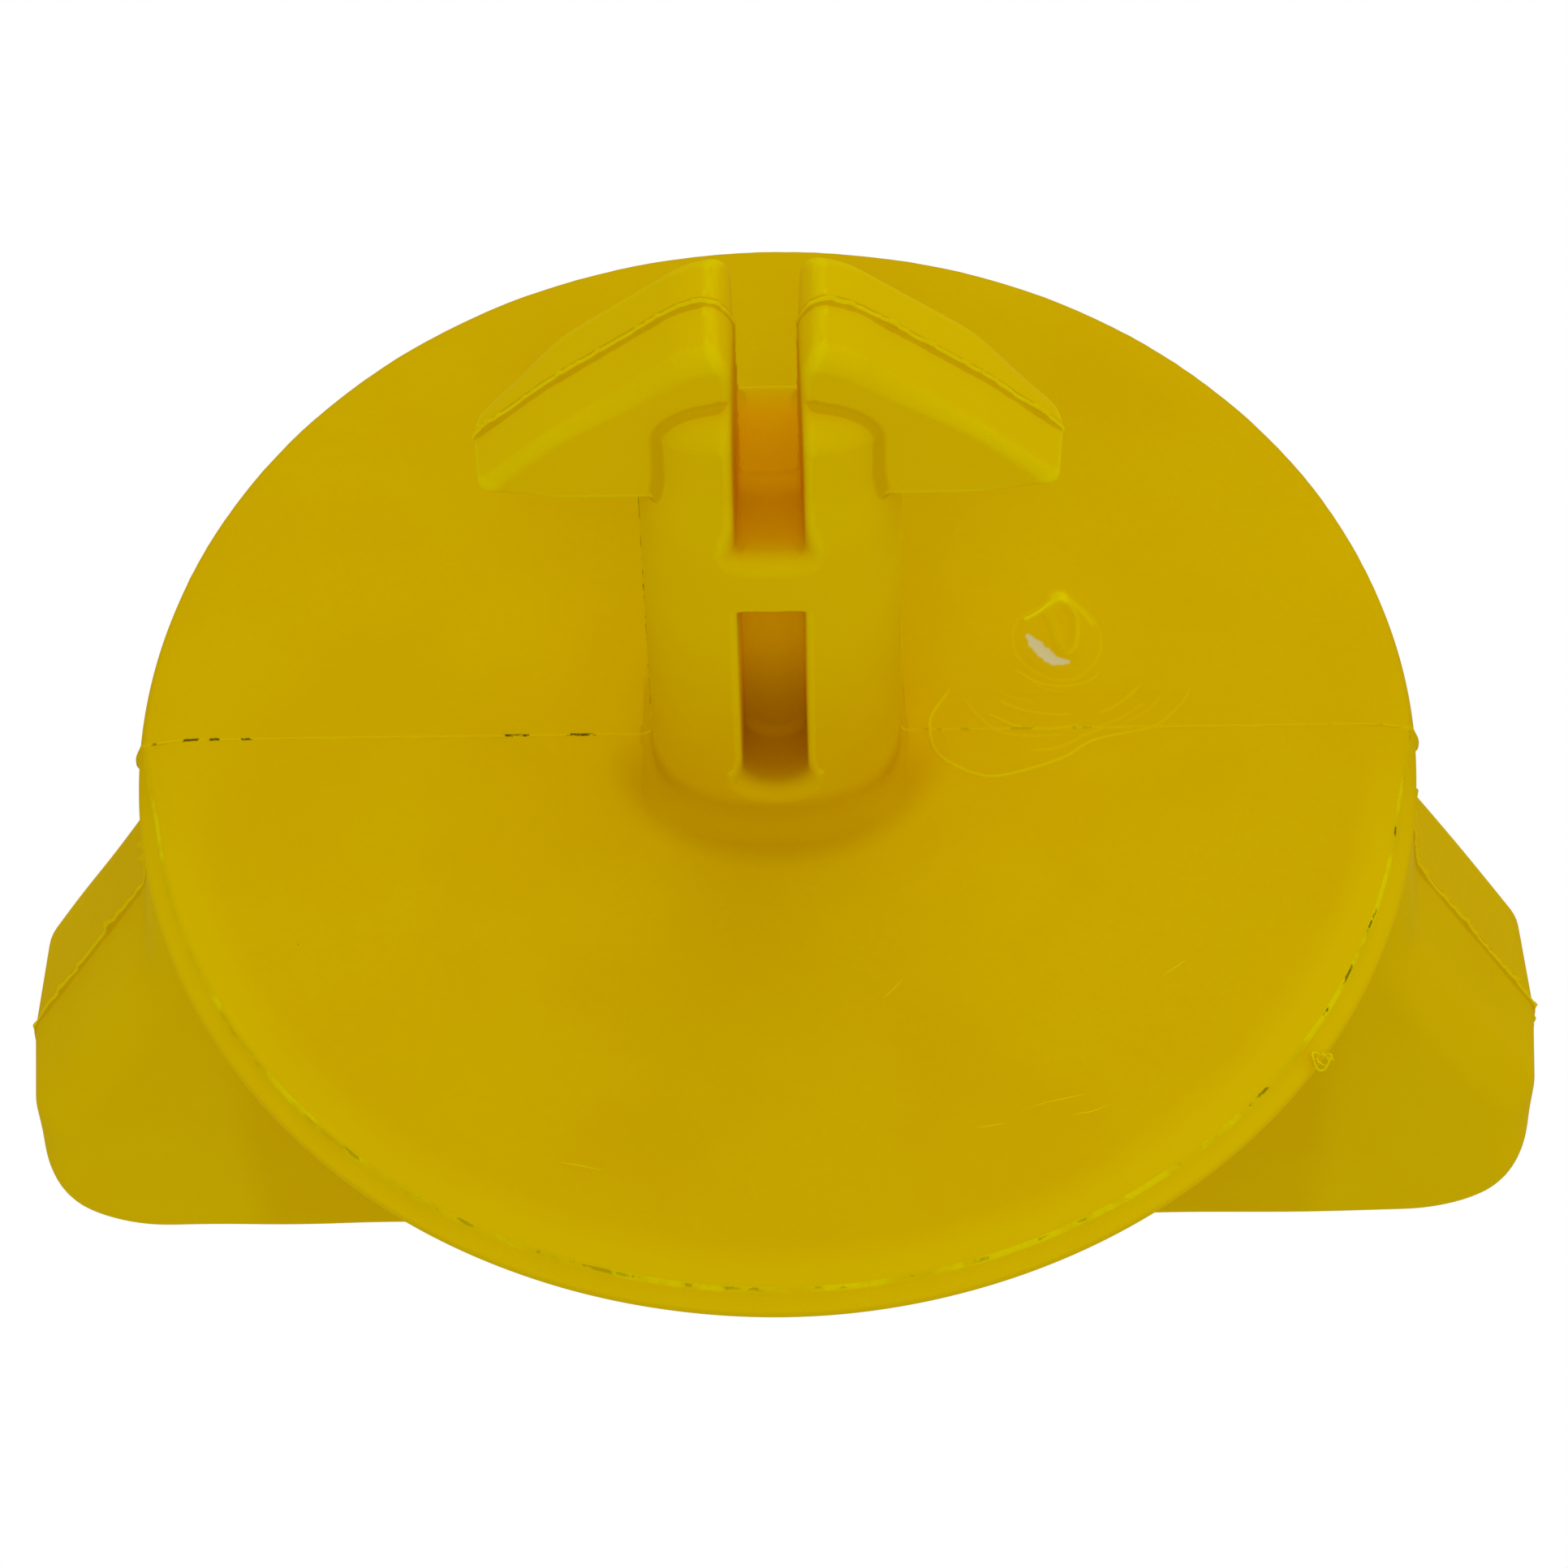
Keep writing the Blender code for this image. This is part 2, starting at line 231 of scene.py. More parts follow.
def surface_net(field, xs, ys, zs):
    """The skin where a field is zero: vertices, outward normals and square faces."""
    places = (xs, ys, zs)
    inside = field < 0
    shape = tuple(n - 1 for n in field.shape)
    corners = [(i, j, k) for i in (0, 1) for j in (0, 1) for k in (0, 1)]
    count = np.zeros(shape, np.int8)
    for i, j, k in corners:
        count += inside[i:i + shape[0], j:j + shape[1], k:k + shape[2]]
    cells = np.nonzero((count > 0) & (count < 8))
    total = np.zeros((len(cells[0]), 3))
    hits = np.zeros(len(cells[0]))
    slope = np.zeros((len(cells[0]), 3))
    for axis in range(3):
        for start in corners:
            if start[axis]:
                continue
            near = [cells[n] + start[n] for n in range(3)]
            far = [near[n] + (n == axis) for n in range(3)]
            a, b = field[tuple(near)], field[tuple(far)]
            length = places[axis][far[axis]] - places[axis][near[axis]]
            slope[:, axis] += (b - a) / length
            crossed = (a < 0) != (b < 0)
            share = np.where(crossed, a / np.where(crossed, a - b, 1.0), 0.0)
            place = [places[n][near[n]] for n in range(3)]
            place[axis] = place[axis] + share * length
            total += np.where(crossed[:, None], np.stack(place, -1), 0.0)
            hits += crossed
    vertices = total / hits[:, None]
    normals = slope / np.linalg.norm(slope, axis=1)[:, None]
    number = np.full(shape, -1, np.int64)
    number[cells] = np.arange(len(cells[0]))
    quads = []
    for axis in range(3):
        u, v = [n for n in range(3) if n != axis]
        near = np.take(inside, range(field.shape[axis] - 1), axis)
        far = np.take(inside, range(1, field.shape[axis]), axis)
        edge = np.array(np.nonzero(near != far))
        keep = (edge[u] > 0) & (edge[v] > 0) & (edge[u] < shape[u]) & (edge[v] < shape[v])
        edge = edge[:, keep]
        leaving = near[tuple(edge)]
        around = []
        for back_u, back_v in ((1, 1), (0, 1), (0, 0), (1, 0)):
            cell = edge.copy()
            cell[u] -= back_u
            cell[v] -= back_v
            around.append(number[tuple(cell)])
        quad = np.stack(around, -1)
        turned = leaving if axis != 1 else ~leaving
        quads.append(np.where(turned[:, None], quad, quad[:, ::-1]))
    return vertices, normals, np.concatenate(quads)


def skin_of(field, xs, ys, zs, *details):
    """The skin of a field function over places along the three axes."""
    return surface_net(field(xs, ys, zs, *details).astype(np.float32), xs, ys, zs)


def part_of_skin(skin, wanted):
    """The faces of a skin for which wanted(face middle) is true, with only their vertices."""
    vertices, normals, quads = skin
    chosen = quads[wanted(vertices[quads].mean(axis=1))]
    used, renumbered = np.unique(chosen, return_inverse=True)
    return vertices[used], normals[used], renumbered.reshape(chosen.shape)


def outward_bend(skin, rounds=3):
    """How sharply a skin bends at each vertex, in 1/mm: above 0 on edges, below 0 in creases.

    Along a mesh edge it is the change of the normal along that edge, divided by the edge's
    length. A vertex gets the mean of its edges, which is then averaged with its neighbours a few
    times.
    """
    vertices, normals, quads = skin
    a, b = np.concatenate([quads[:, [n, (n + 1) % 4]] for n in range(4)]).T
    step = vertices[b] - vertices[a]
    change = ((normals[b] - normals[a]) * step).sum(axis=1)
    along = change / np.maximum((step ** 2).sum(axis=1), 1e-6)
    size = len(vertices)
    count = np.bincount(a, minlength=size) + np.bincount(b, minlength=size)
    bend = (np.bincount(a, along, size) + np.bincount(b, along, size)) / count
    for _ in range(rounds):
        around = (np.bincount(a, bend[b], size) + np.bincount(b, bend[a], size)) / count
        bend = (bend + around) / 2
    return bend


RIM_SINK = 0.15


def add_skin(name, skin):
    """A mesh object in place from a skin in millimetres, with the skin's own normals.

    An open rim meets a neighbouring skin. It is turned in along its normals, into the plastic,
    and closed there, so that every piece is a closed surface and the closure is never seen.
    """
    vertices, normals, quads = skin
    bend = outward_bend(skin)
    mesh = bpy.data.meshes.new(name)
    mesh.from_pydata(vertices * MM, [], quads.tolist())
    bm = bmesh.new()
    bm.from_mesh(mesh)
    rims = [edge for edge in bm.edges if edge.is_boundary]
    if rims:
        rim_verts = {vert for edge in rims for vert in edge.verts}
        outward = {tuple(vert.co): normals[vert.index] for vert in rim_verts}
        grown = bmesh.ops.extrude_edge_only(bm, edges=rims)["geom"]
        turned_in = [item for item in grown if isinstance(item, bmesh.types.BMVert)]
        bm.verts.index_update()
        turned_in.sort(key=lambda vert: vert.index)
        extra = np.array([outward[tuple(vert.co)] for vert in turned_in])
        normals = np.concatenate([normals, extra])
        bend = np.concatenate([bend, np.zeros(len(extra))])
        for vert, way in zip(turned_in, extra):
            vert.co -= Vector(way) * RIM_SINK * MM
        closing = [item for item in grown if isinstance(item, bmesh.types.BMEdge)]
        bmesh.ops.holes_fill(bm, edges=closing, sides=0)
    open_edges = sum(not edge.is_manifold for edge in bm.edges)
    volume = bm.calc_volume(signed=True) / MM ** 3
    bm.to_mesh(mesh)
    bm.free()
    mesh.attributes.new("bend", "FLOAT", "POINT").data.foreach_set("value", bend)
    mesh.shade_smooth()
    mesh.normals_split_custom_set_from_vertices(normals.tolist())
    piece = bpy.data.objects.new(name, mesh)
    bpy.context.scene.collection.objects.link(piece)
    print("%s: %d faces, %d open edges, %.0f mm3" %
          (name, len(mesh.polygons), open_edges, volume))
    return piece


# %% [markdown]
# ## The parting line
#
# The mould is two halves that close on the plane Z = 0. Hot plastic creeps a little way between
# them, and stays on the part as a thin, ragged ridge: the flash. In a distance field this is one
# short term. Near Z = 0 the plastic is let out by the flash's height, which wanders along the line.

# %% Flash as a term in the distance
FLASH_HALF_THICKNESS = 0.085
FLASH_WAVES = (3.1, 0.8)
LEAST_FLASH = 0.12


def flash(height, along_u, along_v, z, ragged, seed):
    """How far the flash stands out of the surface: a narrow bell across the parting plane."""
    long_waves, short_waves = FLASH_WAVES
    rough = 0.65 + 0.25 * ripple(along_u, along_v, long_waves, seed)
    fine = ragged * np.maximum(ripple(along_u, along_v, short_waves, seed + 1), 0)
    bell = np.exp(-(z / FLASH_HALF_THICKNESS) ** 2)
    return height * np.maximum(rough + fine, LEAST_FLASH) * bell


# %% [markdown]
# ## Stem and fork
#
# The stem is a rounded bar that grows out of the disc through a fillet. In front it forks: a slot
# open at the top, the bottom and the front leaves two prongs, and each prong carries a wing swept
# back like an arrowhead's barb. Two blind pockets in the stem keep it from sinking as it cools.
# All of it is one field, so that the wing's plate, the bar that runs on under it and the slot's
# walls melt into each other as they do on the real part. The mould opens up and down, so every
# upright wall leans a few degrees, which is the draft.

# %% The stem and fork as one field
DISC_DRAFT = 0.3 / 25.0


def disc_face_y(z):
    """Where the disc's front face lies: it leans back a little above and below the parting line."""
    return FRONT_Y + DISC_DRAFT * np.abs(z)


DRAFT = math.tan(math.radians(5.0))
STEM_ROUNDNESS = 2.5
BAR_TAPER = 0.35
BAR_TAPER_HALF_LENGTH = 1.8
END_BULGE = 0.05
PILLOW_END_Y = FRONT_Y - 24.35
PILLOW_END_EDGE = 1.3
PILLOW_FILLET = 0.22
FOOT_FILLET_AT_SIDE = 0.4
FOOT_FILLET_BELOW = 1.2


def stem_section():
    """The bar's section as an outline: |x/a|^p + |z/b|^p = 1."""
    angle = np.linspace(0, math.tau, 120, endpoint=False)
    across, up = np.cos(angle), np.sin(angle)
    power = 2 / STEM_ROUNDNESS
    return np.stack([STEM_HALF_W * np.sign(across) * np.abs(across) ** power,
                     STEM_HALF_H * np.sign(up) * np.abs(up) ** power], -1)


def bar_with_pillow(x, y, section):
    """Distance to the bar from the distance to its section.

    Its front end is the pillow under the wings: a little slimmer than the bar, bulged and round.
    """
    taper = BAR_TAPER * smoothstep(-y, -WING_BACK_Y - BAR_TAPER_HALF_LENGTH,
                                   -WING_BACK_Y + BAR_TAPER_HALF_LENGTH)
    return both(section + taper, PILLOW_END_Y - y + END_BULGE * x ** 2, PILLOW_END_EDGE)


# %% [markdown]
# ### The wings
#
# Seen from above, both wings and the nose are one arrowhead. It is cut from a plate whose edges
# are tight along the wings and roundest at the tips. A plain bevel can't change its radius along
# an edge, but in a distance field the radius is only one more number that may differ from place
# to place.

# %% The wings' plate
WING_EDGE = 0.5
WING_NOSE_EDGE = 0.8
WING_NOSE_EXTRA = 0.15
WING_TOP_EDGE = 0.75
WING_TIP_EDGE = 2.1
WING_BACK_EDGE = 0.28
WING_TIP_BACK_EDGE = 0.95
WING_PROUD = 0.12
WING_BACK_PROUD = 0.1
WING_RUNS_ON = 4.0
SHOULDER_X = 2.75


def wing_outline():
    """Half of the arrowhead's flank seen from above. It runs on behind the wing's back."""
    nose_y = NOSE_Y + 0.1
    return arc_corners([
        (0.0, WING_BACK_Y + WING_RUNS_ON, 0),
        (WING_TIP_X, WING_BACK_Y + WING_RUNS_ON, 0),
        (WING_TIP_X, WING_BACK_Y - 0.6, 0.8),
        (WING_TIP_X - 2.9, WING_BACK_Y - 3.7, 9.0),
        (SHOULDER_X, nose_y, 3.2),
        (0.0, nose_y, 0),
    ])


def wing_plate(x, y, z, plan):
    """Distance to the plate from the distance to its outline, with the draft on its flank."""
    at_tip = smoothstep(np.abs(x), WING_TIP_X - 4.0, WING_TIP_X - 0.4)
    at_nose = smoothstep(-y, -WING_BACK_Y + 3.0, -NOSE_Y - 1.0) * (z < 0)
    edge_above = part_way(WING_TOP_EDGE, WING_TIP_EDGE, at_tip)
    edge_below = part_way(WING_EDGE, WING_NOSE_EDGE, at_nose)
    thickness = np.abs(z) - WING_HALF_H - WING_PROUD - WING_NOSE_EXTRA * at_nose
    plate = both(plan + DRAFT * np.abs(z), thickness, np.where(z > 0, edge_above, edge_below))
    back_edge = part_way(WING_BACK_EDGE, WING_TIP_BACK_EDGE, at_tip)
    return both(plate, y - WING_BACK_Y - WING_BACK_PROUD, back_edge)


# %% [markdown]
# ### The slot and the pockets
#
# Both are rooms cut out of the bar. A Boolean would cut them too, but it leaves knife edges that
# then have to be rounded one by one. Here the cut and the round of its rim are one step, and the
# draft lets each room widen towards its mouth as a mould's core must.

# %% Rooms to cut out of the bar
SLOT_PROUD = 0.04
SLOT_DRAFT = 0.45 * DRAFT
SLOT_FLOOR_PROUD = 0.25
SLOT_FLOOR_LEAN = 0.03
SLOT_FLOOR_EDGE = 0.4
SLOT_RIM = 0.28
SLOT_LIP = 0.8
NOSE_FLARE = 0.42
NOSE_FLARE_LENGTH = 1.5
POCKET_HALF_W = 1.28
POCKET_START = 1.9
POCKET_END = 14.0
POCKET_WEB = 1.3
POCKET_DRAFT = 0.4 * DRAFT
POCKET_FRONT_EDGE = 0.12
POCKET_FLOOR_EDGE = 0.4
POCKET_FLOOR_LEAN = 0.02
POCKET_RIM = 0.16
POCKET_RIM_AT_DISC = 0.71


def slot_room(x, y, z):
    """Distance to the slot between the prongs. It flares at the nose, by a square law."""
    half = SLOT_HALF - SLOT_PROUD + SLOT_DRAFT * np.abs(z)
    floor = y - SLOT_FLOOR_Y + SLOT_FLOOR_PROUD - SLOT_FLOOR_LEAN * np.abs(z)
    slot = both(np.abs(x) - half, floor, SLOT_FLOOR_EDGE)
    return slot - NOSE_FLARE * np.maximum(NOSE_Y + NOSE_FLARE_LENGTH - y, 0) ** 2


def pocket_room(x, z, reach):
    """Distance to the pockets: a stadium, square at its front end and round at the disc end.

    reach is how far a place lies in front of the disc.
    """
    middle = POCKET_START + POCKET_HALF_W
    round_end = np.hypot(x, np.minimum(reach - middle, 0)) - POCKET_HALF_W
    walls = round_end + POCKET_DRAFT * (STEM_HALF_H - np.abs(z))
    floor = POCKET_WEB - np.abs(z) + POCKET_FLOOR_LEAN * (reach - middle)
    return both(both(walls, reach - POCKET_END, POCKET_FRONT_EDGE), floor, POCKET_FLOOR_EDGE)


# %% Put the fork's field together
FORK_FLASH = 0.05
FRONT_EDGE_FLASH = 0.2
SLOT_FLASH = 0.05


def fork_flash(x, y, z):
    """The fork's flash: low on the stem and in the slot, and highest along the wings' front."""
    front_edge = smoothstep(-y, -WING_BACK_Y + 0.3, -WING_BACK_Y + 1.5)
    in_slot = smoothstep(SLOT_HALF + 0.3 - np.abs(x), 0.0, 0.3)
    in_slot = in_slot * smoothstep(-y, -SLOT_FLOOR_Y - 0.4, -SLOT_FLOOR_Y)
    height = FORK_FLASH + FRONT_EDGE_FLASH * front_edge * (1 - in_slot) + SLOT_FLASH * in_slot
    return flash(height, x, y, z, 0.5, seed=11)


def fork_field(xs, ys, zs):
    """Distance to the stem and the fork, with the disc's front face as the plane it grows from."""
    x, y, z = np.meshgrid(xs, ys, zs, indexing="ij", sparse=True)
    across, up = np.meshgrid(xs, zs, indexing="ij")
    section = outline_distance(stem_section(), across, up)[:, None, :]
    side_x, side_y = np.meshgrid(np.abs(xs), ys, indexing="ij")
    plan = outline_distance(wing_outline(), side_x, side_y)[:, :, None]
    body = either(bar_with_pillow(x, y, section), wing_plate(x, y, z, plan), PILLOW_FILLET)

    lip = smoothstep(-z, 1.5, 3.0) * smoothstep(y, SLOT_FLOOR_Y - 2.5, SLOT_FLOOR_Y - 0.5)
    body = without(body, slot_room(x, y, z), part_way(SLOT_RIM, SLOT_LIP, lip))
    reach = FRONT_Y - y + END_BULGE * x ** 2
    at_disc = smoothstep(-reach, -4.6, -2.4)
    rim = part_way(POCKET_RIM, POCKET_RIM_AT_DISC, at_disc)
    body = without(body, pocket_room(x, z, reach), rim)
    body = body - fork_flash(x, y, z)

    below = smoothstep(np.abs(z), 1.0, 4.0)
    foot = part_way(FOOT_FILLET_AT_SIDE, FOOT_FILLET_BELOW, below)
    return either(body, disc_face_y(z) - y, foot)


# %% Mesh the fork and split it at the prongs' roots
FORK_STEP = 0.115
SEAM_Y = SLOT_FLOOR_Y - 0.9
FOOT_TOLERANCE = 0.0015
fork_xs = sample_places(-WING_TIP_X - 0.6, WING_TIP_X + 0.6, FORK_STEP)
fork_ys = sample_places(NOSE_Y - 0.6, FRONT_Y + 0.3, FORK_STEP)
fork_zs = sample_places(-STEM_HALF_H - 1.6, STEM_HALF_H + 1.6, FORK_STEP, fine_at=0.0)
fork = skin_of(fork_field, fork_xs, fork_ys, fork_zs)


def on_the_stem(at):
    """Whether a face lies between the prongs' roots and the disc's face."""
    return (at[:, 1] > SEAM_Y) & (at[:, 1] < disc_face_y(at[:, 2]) - FOOT_TOLERANCE)


stem_skin = add_skin("stem_skin", part_of_skin(fork, on_the_stem))
prong_skins = {}
for side, label in ((-1, "left"), (1, "right")):
    half = part_of_skin(fork, lambda at: (at[:, 1] <= SEAM_Y) & (at[:, 0] * side > 0))
    prong_skins[label] = add_skin(label + "_prong_skin", half)

# %% [markdown]
# ## Clip arms
#
# Behind the disc two arms run back and flare out to wrap the edges of the post's flange, and each
# ends in a claw. They are the deepest part of the moulding. The side walls lean four degrees
# from the parting line, and the long edges underneath are so round that the wall fades into the
# underside. One field per side holds the outer hull with the channel cut out of it.

# %% Arms and claws
ARM_ROOT_X = DISC_R - 0.4
ARM_OUT_X = DISC_R + 0.75
ARM_IN_X = DISC_R - 4.15
STEP_Y = -0.8
ARM_LEAN = math.tan(math.radians(4.0))
CHANNEL_LEAN = math.tan(math.radians(1.5))
TOP_EDGE = 1.1
UNDER_EDGE = 2.0
REAR_EDGE = 0.7
CHANNEL_EDGE = 0.9
ARM_FILLET = 0.8
ARM_PROUD = 0.2
CLIP_PROUD = 0.3
SINK_DEPTH = 0.05
SINK_WAVE = 9.0
ARM_FLASH = 0.05
OUTER_FLASH = 0.11
OUTER_BUMPS = 0.35
EJECTOR_R = 1.7
EJECTOR_EDGE = 0.02
EJECTOR_SINK = 0.08
RIM_R = DISC_R - 0.2
DISC_SHARE = 0.02
ARM_STEP = 0.135


def arm_hull():
    """The arm's and claw's outer outline seen from above, on the parting plane."""
    return arc_corners([
        (0.0, BACK_Y - 3.0, 0),
        (ARM_ROOT_X, BACK_Y - 3.0, 0),
        (ARM_OUT_X, -9.8, 4.0),
        (CLIP_X + CLIP_PROUD, 1.4, 3.2),
        (CLIP_X + CLIP_PROUD, REAR_Y + CLIP_PROUD, 5.4),
        (0.0, REAR_Y + CLIP_PROUD, 0),
    ])


def arm_cut():
    """What is open inside the clip: the room behind the disc, the channel and the claws' gap."""
    return arc_corners([
        (-3.0, BACK_Y - 6.0, 0),
        (ARM_IN_X, BACK_Y - 6.0, 0),
        (ARM_IN_X, STEP_Y - 3.2, 1.5),
        (CHANNEL_X, STEP_Y, 0.8),
        (CHANNEL_X, CHANNEL_Y, 0.35),
        (CLAW_TIP_X, CHANNEL_Y, 0.8),
        (CLAW_TIP_X, REAR_Y + 4.0, 0),
        (-3.0, REAR_Y + 4.0, 0),
    ])


def disc_distance(x, y, z):
    """A plain distance to the disc, enough for the skins that grow out of it.

    It stops a little short of the real disc, so that those skins run into it.
    """
    across = np.hypot(x, z) - RIM_R
    deep = np.abs(y - (FRONT_Y + BACK_Y) / 2) - (BACK_Y - FRONT_Y) / 2
    return both(across, deep, 0.3) + DISC_SHARE


def ejector_mark(x, y, z):
    """A shallow round pit in the middle of the claw's top, where a pin pushed the part out."""
    middle_x, middle_y = 0.5 * (CLAW_TIP_X + CHANNEL_X), 0.5 * (CHANNEL_Y + REAR_Y)
    pit = np.hypot(np.abs(x) - middle_x, y - middle_y) - EJECTOR_R
    return both(pit, CLIP_HALF_H + ARM_PROUD - EJECTOR_SINK - z, EJECTOR_EDGE)


def arm_field(xs, ys, zs, seed):
    """Distance to one clip arm with its claw, and to the disc that it grows from."""
    x, y, z = np.meshgrid(xs, ys, zs, indexing="ij", sparse=True)
    plan_x, plan_y = np.meshgrid(np.abs(xs), ys, indexing="ij")
    hull_plan = outline_distance(arm_hull(), plan_x, plan_y)[:, :, None]
    cut_plan = outline_distance(arm_cut(), plan_x, plan_y)[:, :, None]
    sink = SINK_DEPTH * ripple(x, y, SINK_WAVE, seed) * smoothstep(np.abs(z), 2.0, 4.0)
    long_edge = np.where(z > 0, TOP_EDGE, UNDER_EDGE)
    in_front = smoothstep(-y, 1.5 - REAR_Y, 6.5 - REAR_Y)
    edge = part_way(REAR_EDGE, long_edge, in_front)
    walls = hull_plan + ARM_LEAN * np.abs(z)
    hull = both(walls, np.abs(z) - CLIP_HALF_H - ARM_PROUD + sink, edge)
    body = without(hull, cut_plan - CHANNEL_LEAN * np.abs(z), CHANNEL_EDGE)
    bumps = OUTER_BUMPS * np.maximum(ripple(x, y, 2.3, seed + 7) - 0.55, 0)
    outside = smoothstep(-hull_plan, 2.5, 0.5)
    body = body - flash(ARM_FLASH + outside * (OUTER_FLASH + bumps), x, y, z, 0.8, seed=seed)
    body = without(body, ejector_mark(x, y, z), EJECTOR_EDGE)
    return either(body, disc_distance(x, y, z), ARM_FILLET)


def off_the_disc(at):
    """Whether a face stands clear of the disc and behind it, and so is the skin's own."""
    clear = disc_distance(at[:, 0], at[:, 1], at[:, 2]) > FOOT_TOLERANCE
    return clear & (at[:, 1] > BACK_Y - 0.05)


arm_ys = sample_places(BACK_Y - 1.2, REAR_Y + 0.7, ARM_STEP)
arm_zs = sample_places(-CLIP_HALF_H - 0.4, CLIP_HALF_H + 0.4, ARM_STEP, fine_at=0.0)
arm_skins = {}
for side, label, seed in ((-1, "left", 31), (1, "right", 47)):
    reach = sample_places(CLAW_TIP_X - 0.7, CLIP_X + 0.9, ARM_STEP)
    arm_xs = reach if side > 0 else -reach[::-1]
    whole = skin_of(arm_field, arm_xs, arm_ys, arm_zs, seed)
    arm_skins[label] = add_skin(label + "_arm_skin", part_of_skin(whole, off_the_disc))

# %% [markdown]
# ## Spine and post pad
#
# In the middle a strut carries a flat leaf that bears on the front of the post. It is plain,
# because nothing but the post ever touches it, but its inside corners are filleted like the rest.

# %% Spine and pad
SPINE_FILLET = 1.3
SPINE_EDGE = 1.2
SPINE_FLASH = 0.09
PAD_EDGE = 0.8
PAD_CORNER = 1.0
PAD_FACE_EDGE = 0.35
PAD_STEP = 0.17


def spine_field(xs, ys, zs):
    """Distance to the strut and its pad, and to the disc behind which they stand."""
    x, y, z = np.meshgrid(xs, ys, zs, indexing="ij", sparse=True)
    lean = CHANNEL_LEAN * np.abs(z)
    strut_plan = np.maximum(np.abs(x) - SPINE_HALF_W, y + 0.5)
    strut = both(strut_plan + lean, np.abs(z) - CLIP_HALF_H, SPINE_EDGE)
    pad_plan = both(np.abs(x) - PAD_HALF_W, PAD_BACK_Y - y, PAD_CORNER)
    pad = both(both(pad_plan + lean, y, PAD_FACE_EDGE), np.abs(z) - CLIP_HALF_H, PAD_EDGE)
    body = either(strut, pad, SPINE_FILLET)
    body = body - flash(SPINE_FLASH, x, y, z, 0.6, seed=71) * smoothstep(-y, 0.05, 0.6)
    return either(body, disc_distance(x, y, z), SPINE_FILLET)


pad_xs = sample_places(-PAD_HALF_W - 0.6, PAD_HALF_W + 0.6, PAD_STEP)
pad_ys = sample_places(BACK_Y - 0.8, 0.5, PAD_STEP)
pad_zs = sample_places(-CLIP_HALF_H - 1.9, CLIP_HALF_H + 1.9, PAD_STEP, fine_at=0.0)
spine = skin_of(spine_field, pad_xs, pad_ys, pad_zs)
spine_skin = add_skin("spine_skin", part_of_skin(spine, off_the_disc))

# %% [markdown]
# ## Pieces made from whole arrays
#
# The disc and the mould's marks are surfaces of two parameters. Their places and faces are worked
# out as whole arrays, so all that is left is to put them into a mesh and see that the faces point
# outwards. The enclosed volume tells: it comes out negative when they point inwards.

# %% Helper: a closed piece


def closed_piece(name, vertices, faces, **values):
    """A mesh object in place from places in millimetres, with its faces turned outwards.

    Each further value, such as thin, becomes an attribute with one number per vertex.
    """
    mesh = bpy.data.meshes.new(name)
    mesh.from_pydata(vertices * MM, [], faces)
    for key, numbers in values.items():
        mesh.attributes.new(key, "FLOAT", "POINT").data.foreach_set("value", numbers)
    bm = bmesh.new()
    bm.from_mesh(mesh)
    if bm.calc_volume(signed=True) < 0:
        bmesh.ops.reverse_faces(bm, faces=bm.faces[:])
        bm.to_mesh(mesh)
    volume = bm.calc_volume(signed=True) / MM ** 3
    print("%s: %d faces, %.2f mm3" % (name, len(bm.faces), volume))
    bm.free()
    mesh.shade_smooth()
    piece = bpy.data.objects.new(name, mesh)
    bpy.context.scene.collection.objects.link(piece)
    return piece


# %% [markdown]
# ## Skirt disc
#
# The disc is a flat skirt, turned about the Y axis. Its face falls away a little above and below
# the parting line, which is the draft again. Near the rim the face rolls back, and ends at a sharp
# front edge where another joint in the mould leaves a ragged thread of flash. On the lower half
# that edge is set back by half a millimetre, as if the mould's halves didn't quite meet. Behind it
# the rim widens a little and then rounds into the back. It is a surface of two parameters: the
# angle round the disc, and the distance along a profile from the centre of the face, over the
# rim, to the centre of the back.

# %% The disc's profile
EDGE_R = DISC_R - 0.2
EDGE_BAND = 2.4
EDGE_DROP = 0.42
EDGE_POWER = 2.4
WIDEST_R = DISC_R + 0.05
WIDEST_Y = 1.5
BACK_ROUND = 0.45
INNERMOST_R = 0.35
WAVE_DEPTH = 0.02
WAVE_LENGTH = 13.0


def edge_roll(inward):
    """How far the face has rolled back at a distance inward of its edge, by a power law."""
    return EDGE_DROP * np.clip(1 - inward / EDGE_BAND, 0, 1) ** EDGE_POWER


def disc_profile():
    """Places (radius, depth behind the face) from the face's centre over the rim to the back's."""
    face = [(r, 0.0) for r in np.linspace(INNERMOST_R, EDGE_R - EDGE_BAND, 34)]
    roll = [(EDGE_R - inward, edge_roll(inward)) for inward in np.linspace(EDGE_BAND, 0, 15)[1:]]
    rim = [(part_way(EDGE_R, WIDEST_R, math.sin(math.pi / 2 * t)),
            part_way(EDGE_DROP, WIDEST_Y, t)) for t in np.linspace(0, 1, 9)[1:]]
    thick = BACK_Y - FRONT_Y
    turn = [(WIDEST_R - BACK_ROUND * (1 - math.cos(a)), thick - BACK_ROUND * (1 - math.sin(a)))
            for a in np.linspace(0, math.pi / 2, 7)]
    back = [(r, thick) for r in np.linspace(WIDEST_R - BACK_ROUND, INNERMOST_R, 12)[1:]]
    return np.array(face + roll + rim + turn + back)


def slow_waves(x, z):
    """The face's slight unevenness, a few hundredths of a millimetre over a centimetre."""
    return WAVE_DEPTH * ripple(x, z, WAVE_LENGTH, 5)


